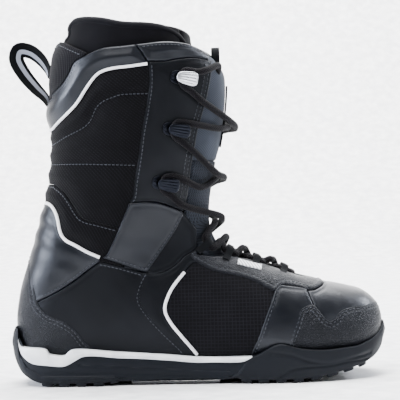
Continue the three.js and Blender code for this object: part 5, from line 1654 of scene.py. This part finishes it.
class BOOT_OT_stitching(bpy.types.Operator):
    """Sews the visible rows of stitches along the panels' edges."""

    bl_idname = "boot.stitching"
    bl_label = "Stitching"

    def execute(self, context):
        rows = [
            ("toe_cap", "toe_cap_top", 2.6, 3.6), ("toe_cap", "toe_cap_top", 5.2, 3.6),
            ("forefoot_strap", "strap_rear", 2.8, 3.6), ("heel_counter", "counter_top", 2.6, 3.4),
            ("heel_counter", "counter_top", 5.2, 3.4), ("eyelet_stay", "stay_lower", 2.4, 3.2),
            ("midfoot_panel", "midfoot_rear", 2.4, 3.2),
            ("heel_quarter", "quarter_top", 2.4, 3.2),
            ("ankle_wrap", "quarter_rear", 2.4, 3.2), ("ankle_flap", "flap_front", 2.4, 3.2),
            ("ankle_flap", "flap_bottom", 2.4, 3.2), ("cuff_facing", "facing_front", 3.0, 3.4),
            ("cuff_facing", "facing_front", 6.0, 3.4), ("cuff_facing", "facing_rear", 2.4, 3.2),
            ("collar_front", "collar_top", 2.6, 3.2), ("collar_rear", "collar_top", 2.6, 3.2),
            ("collar_rear", "collar_rear_top", 2.4, 3.2), ("cuff_flex_panel", "cuff_seam", 2.2, 3.2),
            ("collar_gusset", "gusset_rim", 3.4, 3.2), ("cuff_body", "quilt_upper", 0.0, 3.2),
            ("cuff_body", "quilt_lower", 0.0, 3.2),
        ]
        runs = []
        for panel_name, seam_name, inset, pitch in rows:
            runs += stitches(panel_name, SEAMS[seam_name], inset, pitch)
        edge = np.array([(94, 58), (91.5, 66), (89, 72)], float)
        runs += stitches("forefoot_strap", spline(edge, 8), 2.4, 3.4)
        attach(stitch_mesh("shell_stitches", runs), SLOTS["thread"])
        return {"FINISHED"}


class BOOT_OT_label(bpy.types.Operator):
    """Sews the plain striped label on the stay, on the outer side."""

    bl_idname = "boot.label"
    bl_label = "Label"

    def execute(self, context):
        corners = np.array([(33, 97.2), (52, 91.6), (51.2, 88.2), (32.2, 93.6)], float)
        s, t = np.meshgrid(np.linspace(0, 1, 30), np.linspace(0, 1, 10), indexing="ij")
        flat = ((corners[0] * (1 - s[..., None]) + corners[1] * s[..., None]) * (1 - t[..., None])
                + (corners[3] * (1 - s[..., None]) + corners[2] * s[..., None]) * t[..., None])
        u, turn, _ = find_on_last(flat[..., 0].ravel(), flat[..., 1].ravel(), -1)
        place, normal = last_surface(u, turn)
        rim = np.minimum(np.minimum(s, 1 - s) * 19, np.minimum(t, 1 - t) * 5).ravel()
        face = place + normal * (2.7 + 0.7 * rolled_edge(rim + 0.05, 0.6))[:, None]
        back = place + normal * 2.2
        quads = grid_faces(30, 10)
        triangles = np.concatenate([quads[:, [0, 1, 2]], quads[:, [0, 2, 3]]])
        points, faces = shut(face, back, triangles)
        spots = np.tile(flat.reshape(-1, 2), (2, 1))
        uv = [spots[group] for group in faces]
        attach(make_piece("stay_label", points, faces, FINISHES["label"], uv), SLOTS["label"])
        return {"FINISHED"}


class BOOT_OT_sole(bpy.types.Operator):
    """Moulds the sole: heel and forefoot rubber with their tread, midsole, white frame and arch plate."""

    bl_idname = "boot.sole"
    bl_label = "Sole"

    def execute(self, context):
        depth = mm(context.scene.boot_sizes.lug)
        heel, toe = GROUND_EDGES["outsole_heel"], GROUND_EDGES["outsole_forefoot"]
        heel_lugs = tread([-132, -118, -104, -90, -76, -64], 4.5, lambda x: heights_at(heel, x)[0])
        toe_lugs = tread([30, 44, 58, 72, 86, 100, 114, 127, 138], 4.5, lambda x: heights_at(toe, x)[0])
        layers = [
            ("outsole_heel", "rubber", 0.0, heel_lugs, depth * 0.75),
            ("outsole_forefoot", "rubber", 0.0, toe_lugs, depth * 0.75),
            ("midsole", "midsole_foam", 1.2, [], 0.0),
            ("midsole_frame", "frame_foam", -0.3, [], 0.0),
            ("arch_plate", "plate", 1.5, [], 0.0),
        ]
        for name, finish, inwards, lugs, base in layers:
            layer = sole_layer(name, inwards, base=base, lined=name != "midsole_frame")
            points, faces, _ = joined([layer, *lugs])
            made = make_piece(f"{name}_moulding", points, faces, FINISHES[finish], sharp=55)
            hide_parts(name)
            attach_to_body(made, "boot_lower")
        return {"FINISHED"}


class BOOT_OT_tongue(bpy.types.Operator):
    """Makes the tongue: the mesh below, the woven panel above, its binding, keeper strip and pull loop."""

    bl_idname = "boot.tongue"
    bl_label = "Tongue"

    def execute(self, context):
        upper = np.array([(-9, 181.4), (60, 181.4), (60, 261), (26, 262), (20, 267), (14, 270), (9, 264),
                          (8, 250), (4, 231), (0, 218), (-4, 205), (-7, 191)], float)
        lower = np.array([(-1, 181), (60, 181), (95, 100), (95, 76), (60, 74), (40, 80), (16, 96),
                          (0, 112), (-9, 137), (-5, 160)], float)
        reach = np.array([(92, 14), (60, 26), (30, 34), (-30, 60), (-30, -60), (30, -34), (60, -26),
                          (92, -14)], float)
        made = inset_sheet("tongue_upper_panel", lambda p: inside_distance(p[:, 0], p[:, 2], upper),
                           TONGUE_FACE, TONGUE_BACK, "tongue_cloth", 0.9)
        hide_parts("tongue_upper")
        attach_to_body(made, "tongue")
        made = inset_sheet("tongue_lower_panel", lambda p: np.minimum(
            inside_distance(p[:, 0], p[:, 2], lower), inside_distance(p[:, 0], p[:, 1], reach)),
            TONGUE_FACE, TONGUE_BACK, "open_mesh", 0.8)
        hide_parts("tongue_lower")
        attach(made, SLOTS["open_mesh"])

        top = spline([(27, 262), (23.5, 264.3), (20, 267), (16, 269.4), (12, 269)], 6)
        path = smooth_path(over_back(top, -1.6, TONGUE_FACE, 0.3), 3)
        strip("tongue_binding", path, *carried(path, (0.3, 0, 1)), flat_section(5.5, 5.0), "binding",
              body="tongue")

        lift = WEBBING / 2 + CLEAR - TONGUE_INSET + 0.9
        stations = [on_front(z, 0, lift) for z in (192, 204, 218, 232, 243)]
        path = smooth_path([station[0] for station in stations], 8)
        through = unit(np.array([stations[2][1]] * len(path)))
        sideways = np.tile((0.0, 1.0, 0.0), (len(path), 1))
        strip("tongue_keeper_strip", path, sideways, through, flat_section(15, WEBBING),
              node="tongue_keeper", body="tongue")

        half = [(11, -2), (11, 6), (8, 10.5), (3, 13)]
        arch = half + [(-sideways, rise) for sideways, rise in half[::-1]]
        path = smooth_path([(19.5, y, 262 + rise) for y, rise in arch], 8)
        across = np.tile((1.0, 0.0, 0.0), (len(path), 1))
        through = unit(np.cross(unit(np.gradient(path, axis=0)), across))
        strip("tongue_loop_webbing", path, across, through, flat_section(7, WEBBING),
              node="tongue_loop", body="tongue")
        return {"FINISHED"}


class BOOT_OT_liner(bpy.types.Operator):
    """Makes the padded liner with its rolled rim, tongue and the boards under the foot."""

    bl_idname = "boot.liner"
    bl_label = "Liner"

    def execute(self, context):
        foot = np.array([(-200, 0), (200, 0), (200, 100), (-8, 92), (-76, 104), (-200, 118)], float)
        flex = np.array([(-76, 104), (-8, 92), (60, 95), (60, 112), (-27, 112), (-26, 124)], float)
        tongue = np.array([(-27, 112), (-24, 150), (-14, 200), (-8, 240), (-8, 320), (80, 320), (80, 112)],
                          float)
        rim = outline("liner_rim", [(60, 0), (-160, 0)])

        def inside(shape, p):
            return inside_distance(p[:, 0], p[:, 2], shape)

        def over_board(p):
            return p[:, 2] - np.interp(p[:, 0], *SEAMS["feather"].T) - 4.2

        pieces = [
            ("liner_foot", lambda p: np.minimum(inside(foot, p), over_board(p)), 0.0),
            ("liner_flex_panel", lambda p: np.minimum(inside(flex, p), -inside(foot, p) - CLEAR), 0.0),
            ("liner_cuff", lambda p: np.minimum.reduce([
                inside(rim, p), -inside(foot, p) - CLEAR, -inside(flex, p) - CLEAR,
                -inside(tongue, p) - CLEAR]), 0.6),
            ("liner_tongue", lambda p: np.minimum.reduce([
                inside(tongue, p), inside(rim, p), -inside(foot, p) - CLEAR, -inside(flex, p) - CLEAR]), 0.8),
        ]
        for name, region, swell in pieces:
            made = inset_sheet(f"{name}_padding", region, LINER_FACE, LINER_INSIDE, "liner_cloth", swell, 2.4)
            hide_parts(name)
            attach(made, SLOTS["liner_cloth"])

        middle = tuple((a + b) / 2 for a, b in zip(LINER_FACE, LINER_INSIDE))
        line = SEAMS["liner_rim"]
        path = over_back(line[line[:, 0] < 11.5] - (0, 1.5), 0, middle, 0.4)
        path = evened(np.concatenate([path, path[:1]]), 5)
        section = round_section(1, 20) * np.array([mm(context.scene.boot_sizes.binding), 8.6])
        strip("liner_binding", path, *carried(path, (0, 0, 1)), section, "binding", body="cuff")

        for node, finish in (("footbed", "midsole_foam"), ("lasting_board", "board")):
            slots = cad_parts[node].data.materials
            slots.clear()
            slots.append(FINISHES[finish])
        return {"FINISHED"}


class BOOT_OT_hooks(bpy.types.Operator):
    """Rivets the three pairs of lace hooks to the facings."""

    bl_idname = "boot.hooks"
    bl_label = "Lace hooks"

    def execute(self, context):
        for row in range(len(HOOK_CENTRES)):
            for side in BOTH:
                hook(row, side)
        return {"FINISHED"}


class BOOT_OT_lace(bpy.types.Operator):
    """Threads the lace through the guides and round the hooks."""

    bl_idname = "boot.lace"
    bl_label = "Lace"

    def execute(self, context):
        ankle, tongue = (ANKLE_START, ANKLE_END), (TONGUE_START, TONGUE_END)
        halves = [lace_half(-1, False), lace_half(1, True)]
        bottom = []
        for points, joins in halves:
            bottom.append(points[:joins[0]] + [(points[joins[0] - 1] + points[joins[0]]) / 2])
        lace_piece("lace_lower_cord", bottom[0][::-1] + bottom[1], ankle, ("boot_lower", "cuff"),
                   ("lace_lower",))
        for (points, joins), side in zip(halves, (1, -1)):
            starts = [(points[j - 1] + points[j]) / 2 for j in joins]
            name = SIDE_NAMES[side]
            lace_piece(f"lace_middle_{name}", [starts[0]] + points[joins[0]:joins[1]] + [starts[1]], ankle,
                       ("boot_lower", "cuff"))
            lace_piece(f"lace_top_{name}", [starts[1]] + points[joins[1]:], tongue, ("cuff", "tongue"),
                       (f"lace_upper_{name}",))
        clear = LACE_R + 2 * CLEAR + WEBBING / 2
        fold = [(13, -1.2), (8, 0.6), (2, clear), (-2, clear - 0.6), (-clear, 0.4), (-3, 1.4 - clear),
                (0, -clear)]
        for row, guide in enumerate(GUIDES):
            for side in BOTH:
                place, axes = guide_frame(guide, side)
                path = smooth_path([place + np.array([out, 0, up]) @ axes for out, up in fold], 8)
                across = np.tile(axes[1], (len(path), 1))
                through = unit(np.cross(unit(np.gradient(path, axis=0)), across))
                name = f"lace_guide_{row + 1}_{SIDE_NAMES[side]}"
                strip(f"{name}_webbing", path, across, through, flat_section(GUIDE_WIDTH + 1, WEBBING),
                      node=name)
        return {"FINISHED"}


class BOOT_OT_heel_loop(bpy.types.Operator):
    """Sews the striped pull loop on behind the cuff."""

    bl_idname = "boot.heel_loop"
    bl_label = "Heel loop"

    def execute(self, context):
        route = [(-120.7, 254), (-121.5, 261), (-127, 270), (-136, 277), (-145, 278), (-147.5, 271),
                 (-142, 259), (-132, 246), (-124, 237), (-121.7, 230)]
        path = smooth_path([(x, 0, z) for x, z in route], 8)
        tangents = unit(np.gradient(path, axis=0))
        turn = math.radians(70) * np.sin(math.pi * np.linspace(0, 1, len(path))) ** 0.8
        side = np.tile((0.0, 1.0, 0.0), (len(path), 1))
        out = np.cross(tangents, side)
        across = side * np.cos(turn)[:, None] + out * np.sin(turn)[:, None]
        through = np.cross(tangents, across)
        strip("heel_loop_webbing", path, across, through, flat_section(13, WEBBING), "striped_webbing",
              "heel_loop", "cuff")
        return {"FINISHED"}


OPERATORS = (BOOT_OT_finishes, BOOT_OT_stage, BOOT_OT_shell, BOOT_OT_piping, BOOT_OT_stitching, BOOT_OT_label,
             BOOT_OT_sole, BOOT_OT_tongue, BOOT_OT_liner, BOOT_OT_hooks, BOOT_OT_lace, BOOT_OT_heel_loop)


class BOOT_PT_panel(bpy.types.Panel):
    """The boot's operators, sizes and colours."""

    bl_idname = "BOOT_PT_panel"
    bl_label = "Snowboard Boot"
    bl_space_type = "VIEW_3D"
    bl_region_type = "UI"
    bl_category = "Boot"

    def draw(self, context):
        for operator in OPERATORS:
            self.layout.operator(operator.bl_idname)
        for group in (context.scene.boot_sizes, context.scene.boot_colours):
            box = self.layout.box()
            for name in group.__annotations__:
                box.prop(group, name)


CLASSES = (BootSizes, BootColours, *OPERATORS, BOOT_PT_panel)


def register():
    for cls in CLASSES:
        bpy.utils.register_class(cls)
    bpy.types.Scene.boot_sizes = bpy.props.PointerProperty(type=BootSizes)
    bpy.types.Scene.boot_colours = bpy.props.PointerProperty(type=BootColours)


def unregister():
    del bpy.types.Scene.boot_colours
    del bpy.types.Scene.boot_sizes
    for cls in reversed(CLASSES):
        bpy.utils.unregister_class(cls)


def main():
    register()
    for operator in OPERATORS:
        group, name = operator.bl_idname.split(".")
        getattr(getattr(bpy.ops, group), name)()


if __name__ == "__main__":
    main()
